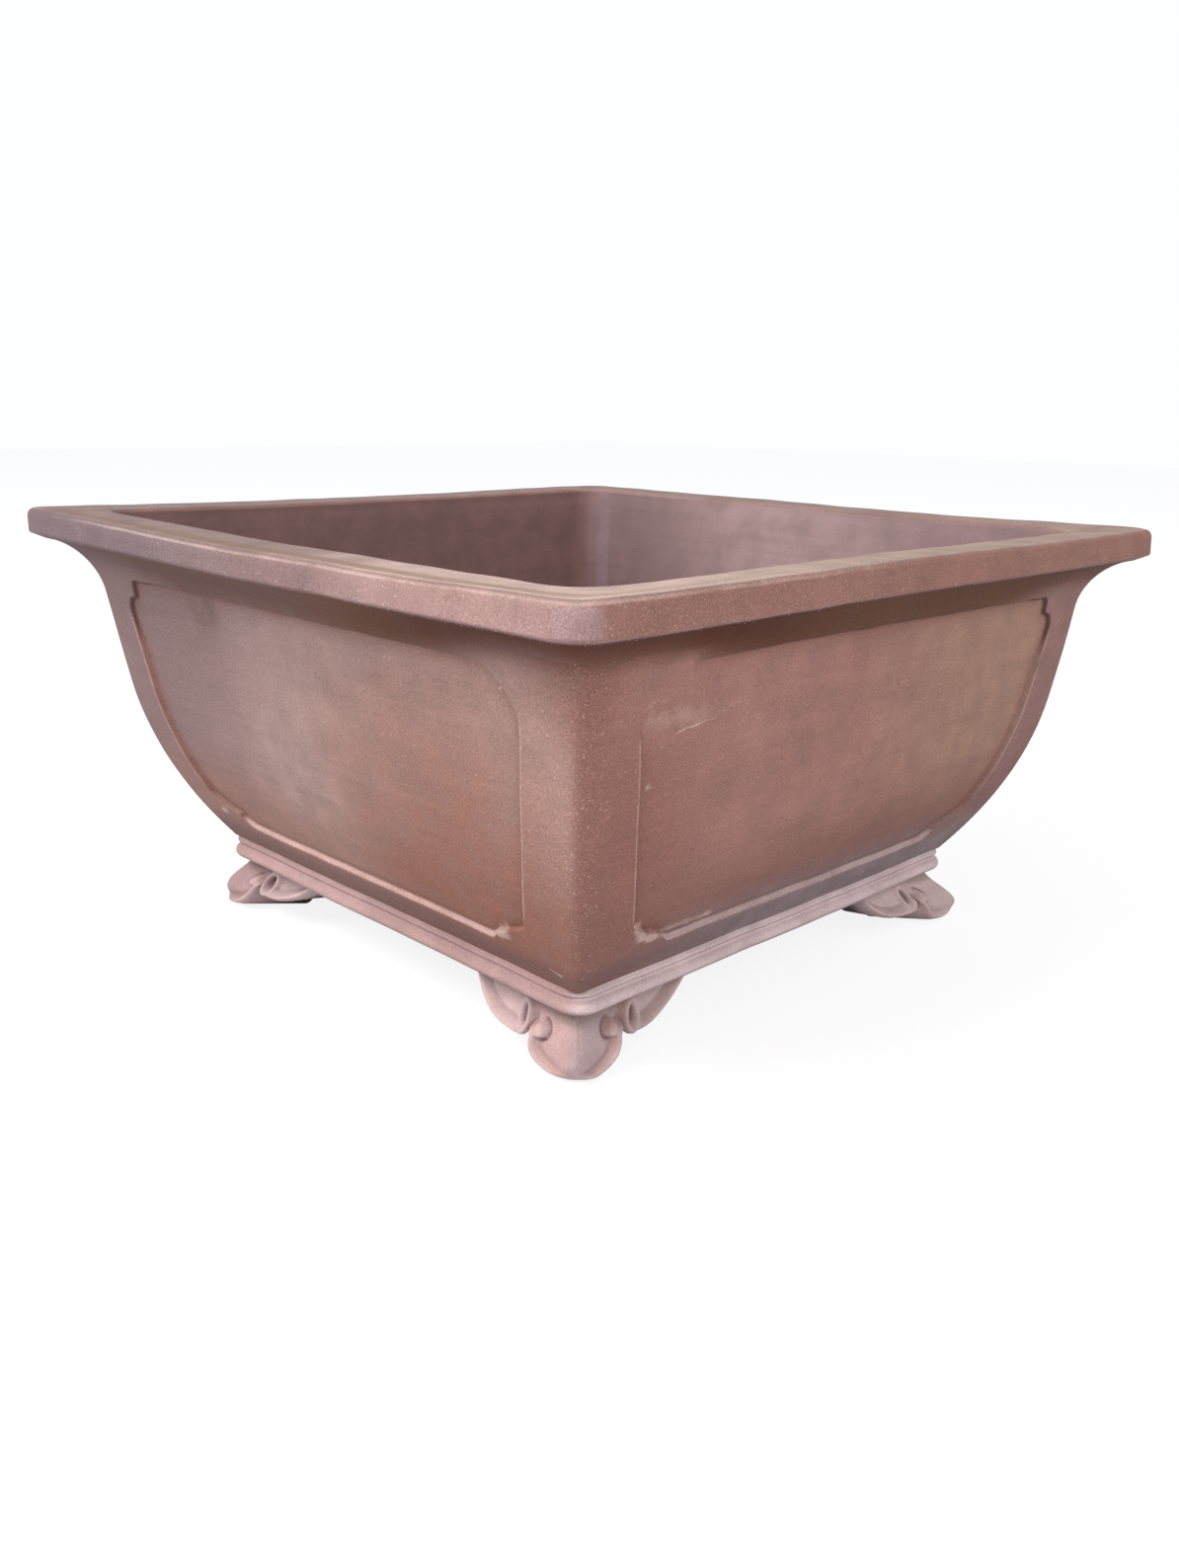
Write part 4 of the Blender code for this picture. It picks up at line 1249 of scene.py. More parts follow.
# %% Bead pieces
def closed_arrays(mesh):
    """Points and triangles of a mesh with its open ends filled, and which triangles fill them."""
    bm = bmesh.new()
    bm.from_mesh(mesh)
    bmesh.ops.holes_fill(bm, edges=bm.edges, sides=0)
    bm.to_mesh(mesh)
    bm.free()
    points = np.empty(len(mesh.vertices) * 3, np.float32)
    mesh.vertices.foreach_get("co", points)
    mesh.calc_loop_triangles()
    faces = np.array([triangle.vertices[:] for triangle in mesh.loop_triangles])
    owners = [mesh.polygons[triangle.polygon_index] for triangle in mesh.loop_triangles]
    many = np.array([owner.loop_total > 4 for owner in owners])
    return points.reshape(-1, 3).astype(float), faces, many


floor_line = side_row(FLOOR_HALF, FLOOR_LOW, BEAD_CORNER, BEAD_STEP, BEAD_CORNER_STEPS, past=1)
bead_path = bpy.data.meshes.new("bead path")
bead_path.from_pydata(floor_line.tolist(), [(i, i + 1) for i in range(len(floor_line) - 1)], [])
bead_mesh = node_mesh(bead_tree, bead_path, {**BEAD_INPUTS, "Clay": BEAD_CLAY})
bead_points, bead_faces, bead_ends = closed_arrays(bead_mesh)
bead_skin, bead_caps = bead_faces[~bead_ends], bead_faces[bead_ends]
bead_notes = {"sandy": np.full(len(bead_points), BEAD_SAND)}
for quarter, side in enumerate(SIDES):
    bead = make_piece("stoneware_bead_" + side, bead_points, bead_skin, bead_caps,
                      BEAD_CLAY, quarter, bead_notes)
    stands_for(bead, "base_bead_" + side)
print("bead:", len(bead_points), "points, reaches", round(-bead_points[:, 1].min() / MM, 1), "mm")

# %% [markdown]
# ## Corner coils
# Inside, a roll of soft clay is pressed into each corner to bind the mitre. It leaves a round
# inside corner. A Bevel modifier on the walls could round it too, but would melt them together. Each
# coil is a row of sections instead, one for every few millimetres of height, that meet the walls in a
# tangent.

# %% Corner coils
COIL_ROWS = 48
COIL_STEPS = 16
COIL_PROUD = 0.05 * MM
COIL_KEY = 1.0 * MM


def coil_row(height):
    """Section of the front right coil at a height: its hollow face, then its back in the walls."""
    centre = float(inside(height)) - MOUTH_CORNER
    angles = np.linspace(-math.pi / 2, 0, COIL_STEPS + 1)
    radius = MOUTH_CORNER - COIL_PROUD
    face = np.stack((centre + radius * np.cos(angles), -centre + radius * np.sin(angles)), -1)
    back = centre + MOUTH_CORNER + COIL_KEY
    plan = np.vstack((face, ((back, -centre), (back, -back), (centre, -back))))
    return np.column_stack((plan, np.full(len(plan), height)))


coil_points = np.vstack([coil_row(height) for height in np.linspace(FLOOR_TOP, RIM_SEAM, COIL_ROWS)])
coil_columns = COIL_STEPS + 4
coil_index = np.arange(len(coil_points)).reshape(COIL_ROWS, coil_columns)
coil_index = np.column_stack((coil_index, coil_index[:, :1]))
coil_faces = coil_index.ravel()[grid_faces(COIL_ROWS, coil_columns + 1)][:, ::-1]
hollow = np.all(coil_faces % coil_columns <= COIL_STEPS, axis=1)
coil_lid = filled(coil_row(RIM_SEAM)[:, :2])[1]
coil_caps = np.vstack((coil_faces[~hollow], coil_lid[:, ::-1], coil_lid + coil_columns * (COIL_ROWS - 1)))
coil_note = {"inner": np.ones(len(coil_points)), "sandy": np.full(len(coil_points), -1.0)}
for quarter, corner in enumerate(CORNERS):
    coil = make_piece("stoneware_coil_" + corner, coil_points, coil_faces[hollow], coil_caps,
                      WALL_CLAY, quarter, coil_note)
    stands_for(coil, "corner_coil_" + corner)
print("coils:", len(CORNERS), "of", len(coil.data.polygons), "triangles each")

# %% [markdown]
# ## Floor slab
# The floor is a flat slab with four holes for drainage, cut while the clay was soft. A Boolean would
# cut them as sharp as glass. Here the slab is drawn as a flat shape, holes and all, and given its
# thickness, and rows of points ease the upper edge of each hole as a wet finger does.

# %% Floor outline
DRAIN_RADIUS = 15 * MM
DRAIN_SPACING = 110 * MM
DRAIN_EASE = 1.5 * MM
DRAIN_STEPS = 40
SLAB_STEP = 8 * MM
SLAB_CORNER_STEPS = 3
FLOOR_GRID = 9 * MM
COLLAR = 3.5 * MM
COLLAR_CLEAR = 6 * MM
DRAINS = [(x * DRAIN_SPACING / 2, y * DRAIN_SPACING / 2) for x in (-1, 1) for y in (-1, 1)]


def ring(centre, radius, steps):
    """Points round a circle, anticlockwise."""
    angles = np.arange(steps) * 2 * math.pi / steps
    return np.asarray(centre) + radius * np.stack((np.cos(angles), np.sin(angles)), -1)


def floor_edge():
    """The slab's outline: a square with slightly rounded corners."""
    row = side_row(FLOOR_HALF, 0, WALL_CORNER_BASE, SLAB_STEP, SLAB_CORNER_STEPS)[:-1]
    return np.vstack([turned(row, quarter)[:, :2] for quarter in range(4)])


def floor_spots():
    """Points inside the slab's outline: a grid that keeps clear of the holes, and a collar round each."""
    spots = np.arange(-FLOOR_HALF, FLOOR_HALF, FLOOR_GRID) + FLOOR_GRID / 2
    grid = np.stack(np.meshgrid(spots, spots), -1).reshape(-1, 2)
    grid = grid[np.abs(grid).max(axis=1) < FLOOR_HALF - FLOOR_GRID / 2]
    for drain in DRAINS:
        grid = grid[np.linalg.norm(grid - drain, axis=1) > DRAIN_RADIUS + COLLAR_CLEAR]
    return np.vstack((grid, *[ring(drain, DRAIN_RADIUS + COLLAR, DRAIN_STEPS) for drain in DRAINS]))


FLOOR_EDGE = floor_edge()
FLOOR_SPOTS = floor_spots()
print("floor outline:", len(FLOOR_EDGE), "points, with", len(DRAINS), "drain holes")


# %% Floor slab
def floor_face(radius, height):
    """A face of the slab, with holes of a radius: points, triangles, and the order of its edge and holes."""
    holes = [ring(drain, radius, DRAIN_STEPS) for drain in DRAINS]
    flat, faces, order = filled(FLOOR_EDGE, FLOOR_SPOTS, holes)
    return np.column_stack((flat, np.full(len(flat), height))), faces, order


def hole_section():
    """Radius and height of the rows that lead down a hole, round its eased edge."""
    section = []
    for angle in np.radians((90, 60, 30, 0)):
        fall = DRAIN_EASE * (1 - math.sin(angle))
        section.append((DRAIN_RADIUS + DRAIN_EASE * (1 - math.cos(angle)), FLOOR_TOP - fall))
    return section + [(DRAIN_RADIUS, FLOOR_LOW)]


def band(rows):
    """Faces between rows of points that each close on themselves."""
    rows = np.column_stack((rows, rows[:, :1]))
    return rows.ravel()[grid_faces(*rows.shape)]


hole_rows = hole_section()
top, top_faces, top_order = floor_face(hole_rows[0][0], FLOOR_TOP)
low, low_faces, low_order = floor_face(DRAIN_RADIUS, FLOOR_LOW)
low_order = low_order + len(top)
slab_points = [top, low]
slab_skin = [top_faces, low_faces[:, ::-1] + len(top)]
count = len(top) + len(low)
for number, drain in enumerate(DRAINS):
    first = len(FLOOR_EDGE) + number * DRAIN_STEPS
    rows = [top_order[first:first + DRAIN_STEPS]]
    for radius, height in hole_rows[1:-1]:
        slab_points.append(np.column_stack((ring(drain, radius, DRAIN_STEPS), np.full(DRAIN_STEPS, height))))
        rows.append(count + np.arange(DRAIN_STEPS))
        count += DRAIN_STEPS
    rows.append(low_order[first:first + DRAIN_STEPS])
    slab_skin.append(band(np.stack(rows)))
slab_caps = band(np.stack((top_order[:len(FLOOR_EDGE)], low_order[:len(FLOOR_EDGE)])))[:, ::-1]
slab_points, slab_skin = np.vstack(slab_points), np.vstack(slab_skin)
slab_note = {"inner": np.ones(len(slab_points)), "sandy": np.full(len(slab_points), -1.0)}
slab = make_piece("stoneware_floor", slab_points, slab_skin, slab_caps, WALL_CLAY, 0, slab_note)
stands_for(slab, "floor_slab")
print("floor slab:", len(slab.data.polygons), "triangles")

# %% [markdown]
# ## Feet
# Each foot was pressed in a mould, bent round the corner: a lobe under the corner and a cloud-scroll
# wing on each side, with a raised border, a curl and a round boss. It could be sculpted, but drawn by
# rule all four feet stay alike and closed. The relief is drawn flat, as distance along the foot from
# its corner and height above the ground, and then bent and flared.

# %% Foot outline
FOOT_REACH = 70 * MM
FOOT_STEP = 0.75 * MM
# Lower edge of the wing and lobe on the foot's two sides, in mm from the corner and above the ground.
FRONT_WING = ((70, 25.2), (66, 18.8), (60.4, 13.6), (54, 10.2),
              (47, 8.8), (39, 8.6), (34.6, 9.4), (32.2, 11.6))
FRONT_LOBE = ((30.2, 11.6), (29.2, 8.4), (26.8, 4.8), (22, 1.9), (15, 0.3), (6, 0), (0, 0))
SIDE_WING = ((70, 25.2), (66.8, 20.8), (60, 16), (52, 12.4),
             (45, 10.5), (38, 10.1), (33.6, 10.8), (31.2, 12.8))
SIDE_LOBE = ((29, 12.8), (28, 9.8), (25, 6.0), (19.4, 2.7), (12, 0.6), (5, 0), (0, 0))
CURVE_STEPS = 12
FOOT_TOP_STEP = 1.5 * MM


def smooth(points):
    """A smooth curve through points given in millimetres."""
    path = np.array(points, float) * MM
    around = np.vstack((2 * path[0] - path[1], path, 2 * path[-1] - path[-2]))
    share = np.linspace(0, 1, CURVE_STEPS, endpoint=False)[:, None]
    runs = []
    for before, start, end, after in zip(around, around[1:], around[2:], around[3:]):
        bend = 2 * before - 5 * start + 4 * end - after + share * (3 * start - before - 3 * end + after)
        runs.append(start + share / 2 * (end - before + share * bend))
    return np.vstack((*runs, path[-1:]))


def even(path, step):
    """The same path with points about a step apart."""
    lengths = np.concatenate(([0], np.cumsum(np.linalg.norm(np.diff(path, axis=0), axis=1))))
    places = np.linspace(0, lengths[-1], round(lengths[-1] / step) + 1)
    return np.stack((np.interp(places, lengths, path[:, 0]), np.interp(places, lengths, path[:, 1])), -1)


front_edge = even(np.vstack((smooth(FRONT_WING), smooth(FRONT_LOBE))), FOOT_STEP) * (-1, 1)
side_edge = even(np.vstack((smooth(SIDE_WING), smooth(SIDE_LOBE))), FOOT_STEP)
FOOT_EDGE = np.vstack((front_edge, side_edge[-2::-1]))
FOOT_EDGE[(0, -1), 1] = FLOOR_LOW
foot_top = spread((FOOT_REACH, FLOOR_LOW), (-FOOT_REACH, FLOOR_LOW), FOOT_TOP_STEP)[1:]
FOOT_LOOP = np.vstack((FOOT_EDGE, foot_top))
print("foot outline:", len(FOOT_LOOP), "points")

# %% Foot front
ROW_SHARE = 0.87
EDGE_CLEAR = 0.55


def foot_spots():
    """Points inside a foot's outline, in rows that stand between each other."""
    across = np.arange(-FOOT_REACH, FOOT_REACH, FOOT_STEP)
    rows = []
    for row, height in enumerate(np.arange(0, FLOOR_LOW, FOOT_STEP * ROW_SHARE)):
        rows.append(np.stack((across + FOOT_STEP / 2 * (row % 2), np.full_like(across, height)), -1))
    spots = np.vstack(rows)
    spots = spots[within(spots, FOOT_LOOP)]
    return spots[distance(spots, FOOT_LOOP, closed=True) > EDGE_CLEAR * FOOT_STEP]


FOOT_FRONT = filled(FOOT_LOOP, foot_spots())
print("foot front:", len(FOOT_FRONT[0]), "points")

# %% Foot scrolls
# On each side: the middle of the wing's scroll and of the lobe's boss, in mm from the corner and the ground.
SCROLLS = {-1: ((35.6, 16.6), (25.0, 14.6)), 1: ((35.4, 17.4), (23.8, 16.0))}
# Half-width and half-height of the scroll's eye, and the depth of the eye.
SCROLL_SIZES = {-1: (2.3 * MM, 4.6 * MM), 1: (3.3 * MM, 4.6 * MM)}
SCROLL_EYE = -2.4 * MM
EYE_SLOPE = (0.4, 1.0)
# The curl round the eye: its place and width, in sizes of the eye, and its height. One side is lower.
SCROLL_RINGS = {-1: (1.35, 0.45, 1.5 * MM), 1: (1.15, 0.36, 2.4 * MM)}
CURL_SIDE = (1.5 * MM, -1.5 * MM)
SCROLL_COVERS = (2.0, 1.2)
# The notch between scroll and boss: its width and depth, its path in mm, and where it fades upwards.
NOTCH = (1.2 * MM, -2.0 * MM)
NOTCH_PATH = ((0.6, 10), (0.3, 16), (-0.9, 21))
NOTCH_FADE = (12 * MM, 21 * MM)
# The boss: radius and height; the groove round one side of it: place, width and depth.
BOSS = (3.2 * MM, 2.7 * MM)
BOSS_FLAT = 1.2
BOSS_GROOVE = (4.1 * MM, 0.9 * MM, -0.9 * MM)
GROOVE_SIDE = (2.5 * MM, -1.5 * MM)


def foot_side(flat, sign, scroll, boss):
    """The drawn relief of one side of a foot (scroll, notch, boss), what it covers, and where painted shade
    darkens its hollows.
    """
    half = flat * (sign, 1)
    scroll, boss = np.array(scroll) * MM, np.array(boss) * MM
    turn = np.linalg.norm((half - scroll) / SCROLL_SIZES[sign], axis=1)
    eye = 1 - ease(*EYE_SLOPE, turn)
    curl = 0.5 + 0.5 * ease(*CURL_SIDE, half[:, 0] - scroll[0])
    drawn = SCROLL_EYE * eye + SCROLL_RINGS[sign][2] * curl * bell(turn, *SCROLL_RINGS[sign][:2])
    crease = (scroll + boss) / 2 * (1, 0) + np.array(NOTCH_PATH) * MM
    notch = bell(distance(half, crease), 0, NOTCH[0]) * (1 - 0.8 * ease(*NOTCH_FADE, half[:, 1]))
    away = np.linalg.norm((half - boss) * (1, BOSS_FLAT), axis=1)
    groove = ease(*GROOVE_SIDE, half[:, 0] - boss[0]) * bell(away, *BOSS_GROOVE[:2])
    drawn += NOTCH[1] * notch + BOSS_GROOVE[2] * groove
    dome = np.sqrt(np.maximum(1 - (away / BOSS[0]) ** 2, 0))
    hollow = np.maximum.reduce((eye, notch, 0.8 * groove)) * (1 - dome)
    covered = np.maximum(ease(*SCROLL_COVERS, turn), dome)
    return drawn * (1 - 0.8 * dome) + BOSS[1] * dome, covered, hollow


print("scrolls", -SCROLL_EYE / MM, "mm deep, bosses", BOSS[1] / MM, "mm proud")

# %% Foot relief
EDGE_ROUND = 2.6 * MM
# From the edge inwards: a raised border, a line cut beside it and a sunk field, with places and heights.
BORDER = (2.3 * MM, 1.5 * MM, 2.2 * MM)
BORDER_LINE = (4.9 * MM, 0.9 * MM, -0.6 * MM)
FIELD = (2.8 * MM, 5.4 * MM, -1.8 * MM)
# The lobe's upright ridge: its place at the ground, its lean, width and height, and what it keeps plain.
ARRIS = (-2 * MM, -0.25, 2.0 * MM, 0.8 * MM)
ARRIS_CLEAR = (3 * MM, 12 * MM)
ARRIS_TOP = 6 * MM
ARRIS_FOOT = (1 * MM, 8 * MM)
DIRT_BAND = (9 * MM, 2 * MM)
DIRT_REACH = (40 * MM, 15 * MM)
WING_FROM = (29 * MM, 38 * MM)
GROUND_SHADE = (3 * MM, 0.3 * MM)
# Strength of the notes: how dark the painted shade in the border's line and on the toe's underside is,
# where a crest's painted highlight is full, and how sandy the foot is.
LINE_DARK = 0.45
GROUND_DARK = 0.4
CREST_FULL = 2 * MM
FOOT_SAND = 0.1


def foot_relief(flat):
    """How far each point of a foot's front stands out, and notes on its finish."""
    edge = distance(flat, FOOT_EDGE)
    drawn, covered, hollow = np.zeros((3, len(flat)))
    for sign, (scroll, boss) in SCROLLS.items():
        here = flat[:, 0] * sign > 0
        drawn[here], covered[here], hollow[here] = foot_side(flat[here], sign, scroll, boss)
    away = flat[:, 0] - ARRIS[0] - ARRIS[1] * flat[:, 1]
    plain = (1 - covered) * (0.25 + 0.75 * ease(*ARRIS_CLEAR, np.abs(away)))
    line = bell(edge, *BORDER_LINE[:2])
    border = BORDER[2] * bell(edge, *BORDER[:2]) + FIELD[2] * ease(*FIELD[:2], edge) + BORDER_LINE[2] * line
    drawn += border * plain
    arris = bell(away, 0, ARRIS[2]) * ease(FLOOR_LOW, FLOOR_LOW - ARRIS_TOP, flat[:, 1])
    drawn += ARRIS[3] * arris * ease(*ARRIS_FOOT, flat[:, 1])
    turn = EDGE_ROUND - np.minimum(edge, EDGE_ROUND)
    fall = EDGE_ROUND - np.sqrt(np.maximum(EDGE_ROUND ** 2 - turn ** 2, 0))
    neck = ease(FLOOR_LOW - DIRT_BAND[0], FLOOR_LOW - DIRT_BAND[1], flat[:, 1])
    notes = {
        "hollow": np.maximum(hollow, LINE_DARK * line * plain),
        "crest": np.clip(drawn / CREST_FULL, 0, 1),
        "dirt": neck * ease(*DIRT_REACH, np.abs(flat[:, 0])),
        "below": GROUND_DARK * ease(*GROUND_SHADE, flat[:, 1]),
        "sandy": np.full(len(flat), FOOT_SAND),
        "wing": ease(*WING_FROM, np.abs(flat[:, 0])),
    }
    return drawn - fall, notes


print("border", BORDER[2] / MM, "mm proud, field", -FIELD[2] / MM, "mm deep")

# %% Foot shape
FOOT_NECK = FLOOR_HALF - 1.8 * MM
FOOT_HEEL = FOOT_NECK - 16 * MM
FOOT_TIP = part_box("foot_front_right")[0].x - 2 * MM
TOE_FLARE = 12.4 * MM
TIP_FLARE = 3 * MM
TOE_HEIGHT = 7.5 * MM
TOE_ROUND = 6.5 * MM
TOE_CORNER = 10 * MM
FOOT_BEND = 9 * MM


def foot_flare(height):
    """How far the toe stands out past the neck at a height."""
    fall = np.clip((FLOOR_LOW - height) / (FLOOR_LOW - TOE_HEIGHT), 0, 1)
    under = np.clip(1 - height / TOE_HEIGHT, 0, 1)
    return TOE_FLARE * fall ** 2 * (3 - 2 * fall) - TOE_ROUND * (1 - np.sqrt(1 - under ** 2))


def on_foot(flat, raised):
    """The place of flat points on the front right foot."""
    along, height = np.abs(flat[:, 0]), flat[:, 1]
    toe = FOOT_NECK + foot_flare(height)
    radius = WALL_CORNER_BASE + (TOE_CORNER - WALL_CORNER_BASE) * ease(FLOOR_LOW, 0, height)
    centre = toe - radius
    share = np.clip((along - FOOT_BEND) / (FOOT_REACH - FOOT_BEND), 0, 1)
    turn = np.clip(1 - along / FOOT_BEND, 0, 1) * math.pi / 4
    flare = foot_flare(height) * (1 - (1 - TIP_FLARE / TOE_FLARE) * share)
    straight = np.stack((centre + (FOOT_TIP - centre) * share, -FOOT_NECK - flare - raised), -1)
    bent = np.stack((np.sin(turn), -np.cos(turn)), -1) * (radius + raised)[:, None]
    bent += np.stack((centre, -centre), -1)
    plan = np.where((along < FOOT_BEND)[:, None], bent, straight)
    plan = np.where((flat[:, 0] > 0)[:, None], -plan[:, ::-1], plan)
    return np.column_stack((plan, height))


def foot_back(flat):
    """The place of flat points on the foot's heel, which is a plain angle."""
    along = np.abs(flat[:, 0]) / FOOT_REACH
    plan = np.stack((FOOT_HEEL + (FOOT_TIP - FOOT_HEEL) * along, np.full_like(along, -FOOT_HEEL)), -1)
    plan = np.where((flat[:, 0] > 0)[:, None], -plan[:, ::-1], plan)
    return np.column_stack((plan, flat[:, 1]))


print("toe flare:", round(TOE_FLARE / MM, 1), "mm, wing tip", round(FOOT_TIP / MM, 1), "mm from the middle")

# %% Foot pieces
SPINE_POINTS = 12
SPINE_CLEAR = 2 * MM

spine = np.linspace((0, SPINE_CLEAR), (0, FLOOR_LOW - SPINE_CLEAR), SPINE_POINTS)
heel, heel_faces, heel_order = filled(FOOT_LOOP, spine)
raised, foot_notes = foot_relief(FOOT_FRONT[0])
foot_points = np.vstack((on_foot(FOOT_FRONT[0], raised), foot_back(heel)))
foot_count = len(FOOT_FRONT[0])
foot_rim = joined(FOOT_FRONT[2], heel_order + foot_count)
on_top = np.all(foot_points[foot_rim][:, :, 2] > FLOOR_LOW - TOUCH, axis=1)
foot_skin = np.vstack((FOOT_FRONT[1], foot_rim[~on_top]))
foot_caps = np.vstack((heel_faces[:, ::-1] + foot_count, foot_rim[on_top]))
# The heel is painted dark all over as shade.
heel_notes = {note: np.full(len(heel), note == "below") for note in foot_notes}
foot_notes = {note: np.concatenate((values, heel_notes[note])) for note, values in foot_notes.items()}
for quarter, corner in enumerate(CORNERS):
    foot = make_piece("stoneware_foot_" + corner, foot_points, foot_skin, foot_caps,
                      FOOT_CLAY, quarter, foot_notes)
    stands_for(foot, "foot_" + corner)
print("feet:", len(CORNERS), "of", len(foot.data.polygons), "triangles each")

# %% [markdown]
# ## Sand grains
# Where the potter scraped the clay, at the corners and along the rim, sand grains stand proud and
# catch the light. A bump alone would vanish along the outline, and placing hundreds by hand is idle
# work. Geometry Nodes scatter them: points on the surface, as dense as the mesh is noted sandy, each
# with a small rough ball. A fixed seed keeps every grain in its place.

# %% Sand
QUARTZ_PATCH = 3 * MM


def quartz(name):
    """Quartz sand, rubbed round: small, pale and a little shinier to the eye than the clay, cream to pink."""
    material = bpy.data.materials.new(name)
    material.use_nodes = True
    tree = material.node_tree
    shader = tree.nodes["Principled BSDF"]
    spot = add(tree, "ShaderNodeTexCoord").outputs["Object"]
    share = mapped(tree, noise(tree, spot, QUARTZ_PATCH, 1.0)[0], 0.35, 0.65)
    colour = mixed(tree, share, linear(0xB08D82), linear(0xD2B6A8))
    tree.links.new(colour, shader.inputs["Base Color"])
    shader.inputs["Roughness"].default_value = 0.6
    return material


QUARTZ = quartz("quartz sand in the clay")
print("sand material:", QUARTZ.name)

# %% Sand tree
# How many grains stand on a square metre where it is sandiest, and their radius.
GRAIN_INPUTS = {"Density": 110000.0, "Grain": 0.21 * MM}
GRAIN_SEED = 7

sand_tree, given = node_tree("sand grains", GRAIN_INPUTS, "Sand")
sandy = add(sand_tree, "GeometryNodeInputNamedAttribute", {"Name": "sandy"}, data_type="FLOAT").outputs[0]
bare = calc(sand_tree, "MAXIMUM", sandy, 0.0)
crowd = calc(sand_tree, "MULTIPLY", calc(sand_tree, "MULTIPLY", bare, bare), given["Density"])
places = {"Mesh": given["Geometry"], "Density": crowd, "Seed": GRAIN_SEED}
spots = add(sand_tree, "GeometryNodeDistributePointsOnFaces", places).outputs["Points"]
ball = {"Radius": given["Grain"], "Subdivisions": 1}
ball = add(sand_tree, "GeometryNodeMeshIcoSphere", ball).outputs["Mesh"]
uneven = {0: (0.5, 0.5, 0.5), 1: (1.5, 1.5, 1.5), "Seed": GRAIN_SEED}
size = add(sand_tree, "FunctionNodeRandomValue", uneven, data_type="FLOAT_VECTOR").outputs[0]
angles = {0: (0, 0, 0), 1: (6.28, 6.28, 6.28), "Seed": GRAIN_SEED + 1}
angle = add(sand_tree, "FunctionNodeRandomValue", angles, data_type="FLOAT_VECTOR").outputs[0]
parts = {"Points": spots, "Instance": ball, "Scale": size, "Rotation": angle}
grains = add(sand_tree, "GeometryNodeInstanceOnPoints", parts).outputs[0]
grains = add(sand_tree, "GeometryNodeRealizeInstances", {"Geometry": grains}).outputs[0]
grains = add(sand_tree, "GeometryNodeSetMaterial", {"Geometry": grains, "Material": given["Sand"]}).outputs[0]
add(sand_tree, "NodeGroupOutput", {0: grains})
print("sand tree:", len(sand_tree.nodes), "nodes")

# %% Sand pieces
GRAIN_FACES = 20

loose = bmesh.new()
for piece in walls + rims:
    loose.from_mesh(node_mesh(sand_tree, piece.data, {**GRAIN_INPUTS, "Sand": QUARTZ}))
sand_mesh = bpy.data.meshes.new("sand_grains")
loose.to_mesh(sand_mesh)
loose.free()
sand_mesh.materials.append(QUARTZ)
sand = bpy.data.objects.new("sand_grains", sand_mesh)
bpy.context.scene.collection.objects.link(sand)
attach(sand, "root")
print("sand grains:", len(sand_mesh.polygons) // GRAIN_FACES, "of", GRAIN_FACES, "faces each")

# %% [markdown]
# ## Floor and light
# The pot stands on a pale floor under a large soft lamp at the front left, with a weaker one at the
# right. More light could turn the background white, but would bleach the clay. So the floor and
# the world only look white to the camera, while the light that reaches the pot stays plain.

# %% Floor
FLOOR_SIZE = 12.0
FLOOR_WHITE = 0.72
FLOOR_GLOW = 1.2

scene = bpy.context.scene
scene.view_settings.view_transform = "Standard"
floor_corners = [(x * FLOOR_SIZE / 2, y * FLOOR_SIZE / 2, 0) for x, y in ((-1, -1), (1, -1), (1, 1), (-1, 1))]
floor_mesh = bpy.data.meshes.new("floor")
floor_mesh.from_pydata(floor_corners, [], [(0, 1, 2, 3)])
floor = bpy.data.objects.new("floor", floor_mesh)
scene.collection.objects.link(floor)
floor_paint = bpy.data.materials.new("pale floor")
floor_paint.use_nodes = True
tree = floor_paint.node_tree
tree.nodes.remove(tree.nodes["Principled BSDF"])
ray = add(tree, "ShaderNodeLightPath")
matt = add(tree, "ShaderNodeBsdfDiffuse", {"Color": linear(0xE4E4EA)})
white = add(tree, "ShaderNodeEmission", {"Color": linear(0xFFFFFF), "Strength": FLOOR_GLOW})
part = calc(tree, "MULTIPLY", ray.outputs["Is Camera Ray"], FLOOR_WHITE)
both = add(tree, "ShaderNodeMixShader", {0: part, 1: matt.outputs[0], 2: white.outputs[0]})
tree.links.new(both.outputs[0], tree.nodes["Material Output"].inputs[0])
floor_mesh.materials.append(floor_paint)
print("floor:", FLOOR_SIZE, "m square")

# %% World
# How strong the sky is for the pot, and as the camera sees it.
SKY_LIGHT, SKY_SEEN = 0.55, 1.1

world = bpy.data.worlds.new("studio")
scene.world = world
world.use_nodes = True
tree = world.node_tree
sky = tree.nodes["Background"]
sky.inputs["Color"].default_value = linear(0xF2F4FA)
ray = add(tree, "ShaderNodeLightPath")
level = mapped(tree, ray.outputs["Is Camera Ray"], 0.0, 1.0, SKY_LIGHT, SKY_SEEN)
tree.links.new(level, sky.inputs["Strength"])
print("sky at", SKY_LIGHT)

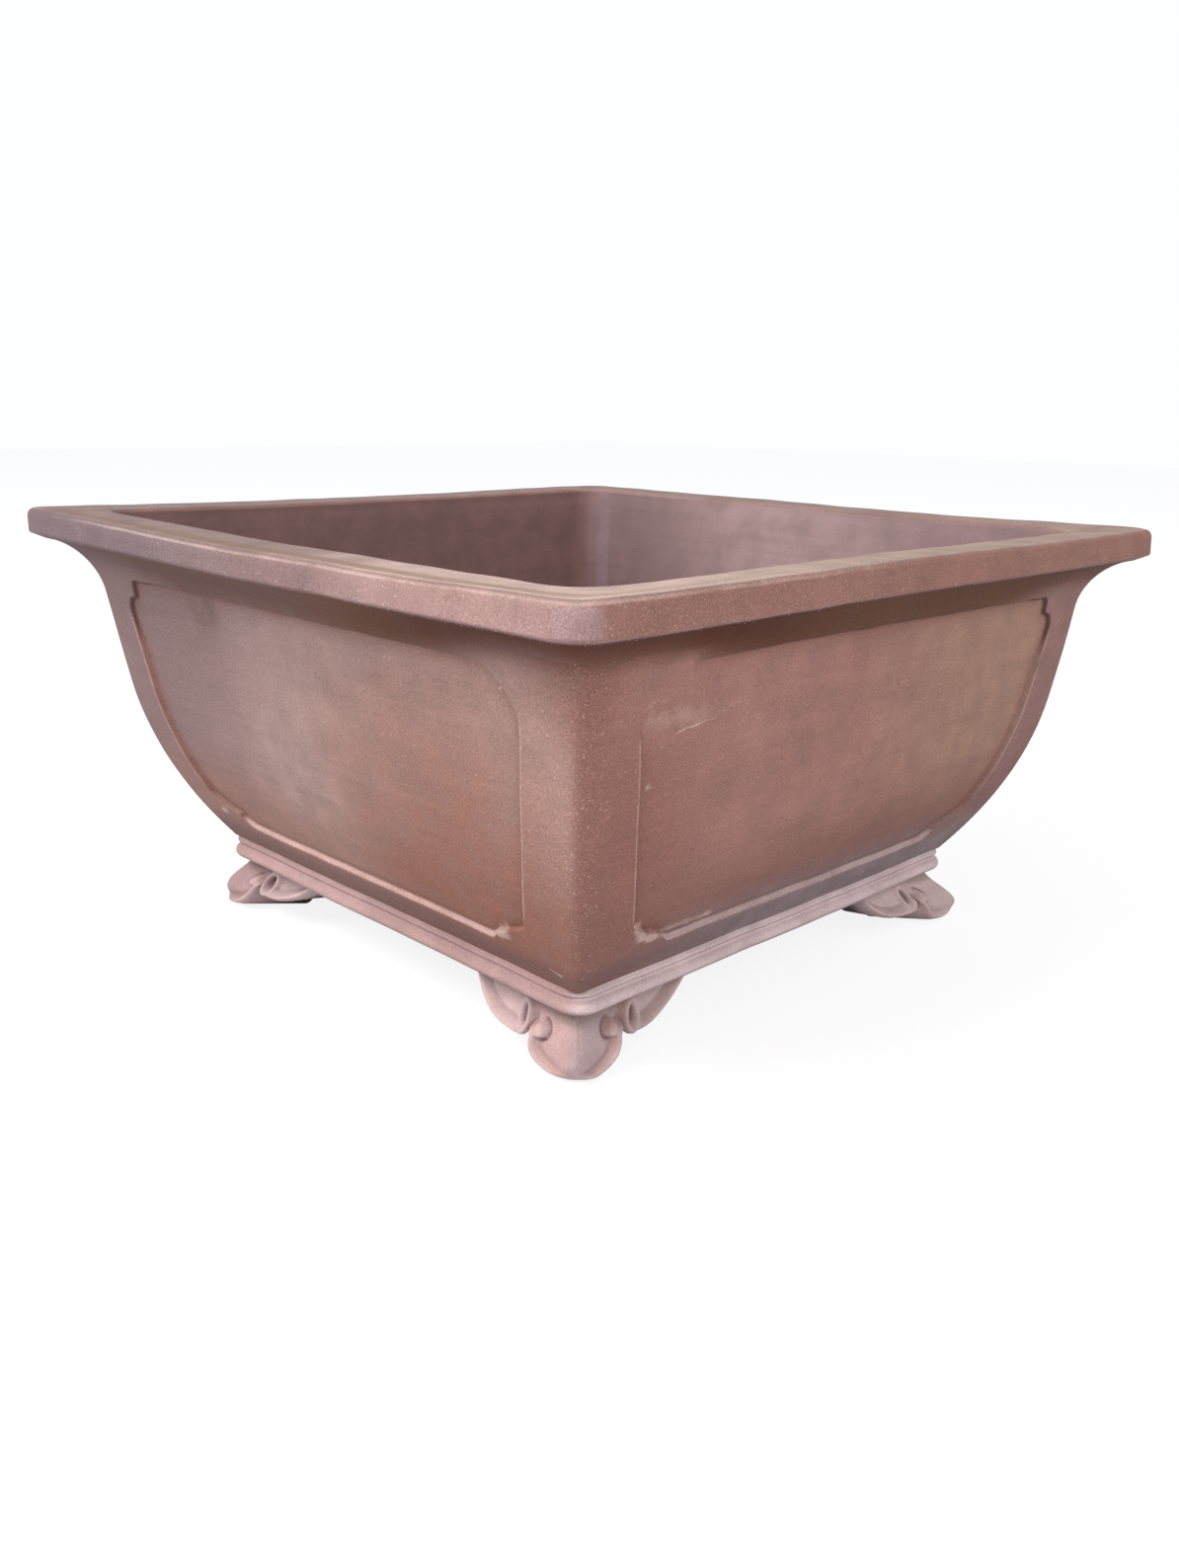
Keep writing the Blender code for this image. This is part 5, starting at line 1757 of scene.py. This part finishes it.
# %% Lamps
# Place in metres, size in metres, power in watts and colour.
LAMPS = {
    "key": ((-0.5, -1.5, 1.7), 1.3, 42, 0xFFFDFA),
    "fill": ((1.6, -0.2, 1.0), 1.2, 10, 0xFFF6EE),
}


def soft_lamp(name, place, size, power, colour):
    """A square lamp that faces the pot."""
    lamp = bpy.data.lights.new(name, "AREA")
    lamp.shape = "SQUARE"
    lamp.size = size
    lamp.energy = power
    lamp.color = linear(colour)[:3]
    holder = bpy.data.objects.new(name, lamp)
    holder.location = place
    holder.rotation_euler = (Vector((0, 0, POT_TOP / 2)) - Vector(place)).to_track_quat("-Z", "Y").to_euler()
    scene.collection.objects.link(holder)


for name, lamp in LAMPS.items():
    soft_lamp(name, *lamp)
print("lamps:", list(LAMPS))

# %% [markdown]
# ## Camera
# The photo was taken from a little above the rim, corner first, with the lens close enough to make the
# near corner loom. A constraint could aim the camera at the pot; its place, turn and lens are written
# out instead, because they were fitted to the corners of the rim, the base and the feet.

# %% Camera
CAMERA_PLACE = (463.7 * MM, -453.0 * MM, 257.6 * MM)
CAMERA_YAW = math.radians(45.588)
CAMERA_PITCH = math.radians(16.324)
CAMERA_ROLL = math.radians(0.92)
FOCAL_PIXELS = 1320.33
PHOTO_HEIGHT = 1588
SENSOR = 36

ahead = Vector((-math.sin(CAMERA_YAW) * math.cos(CAMERA_PITCH),
                math.cos(CAMERA_YAW) * math.cos(CAMERA_PITCH),
                -math.sin(CAMERA_PITCH)))
level_right = Vector((math.cos(CAMERA_YAW), math.sin(CAMERA_YAW), 0))
level_up = level_right.cross(ahead)
right = math.cos(CAMERA_ROLL) * level_right + math.sin(CAMERA_ROLL) * level_up
up = math.cos(CAMERA_ROLL) * level_up - math.sin(CAMERA_ROLL) * level_right
lens = bpy.data.cameras.new("camera")
lens.sensor_width = SENSOR
lens.lens = FOCAL_PIXELS * lens.sensor_width / PHOTO_HEIGHT
lens.clip_start = 0.01
camera = bpy.data.objects.new("camera", lens)
camera.matrix_world = Matrix.Translation(CAMERA_PLACE) @ Matrix((right, up, -ahead)).transposed().to_4x4()
scene.collection.objects.link(camera)
scene.camera = camera
print("lens", round(lens.lens, 2), "mm")
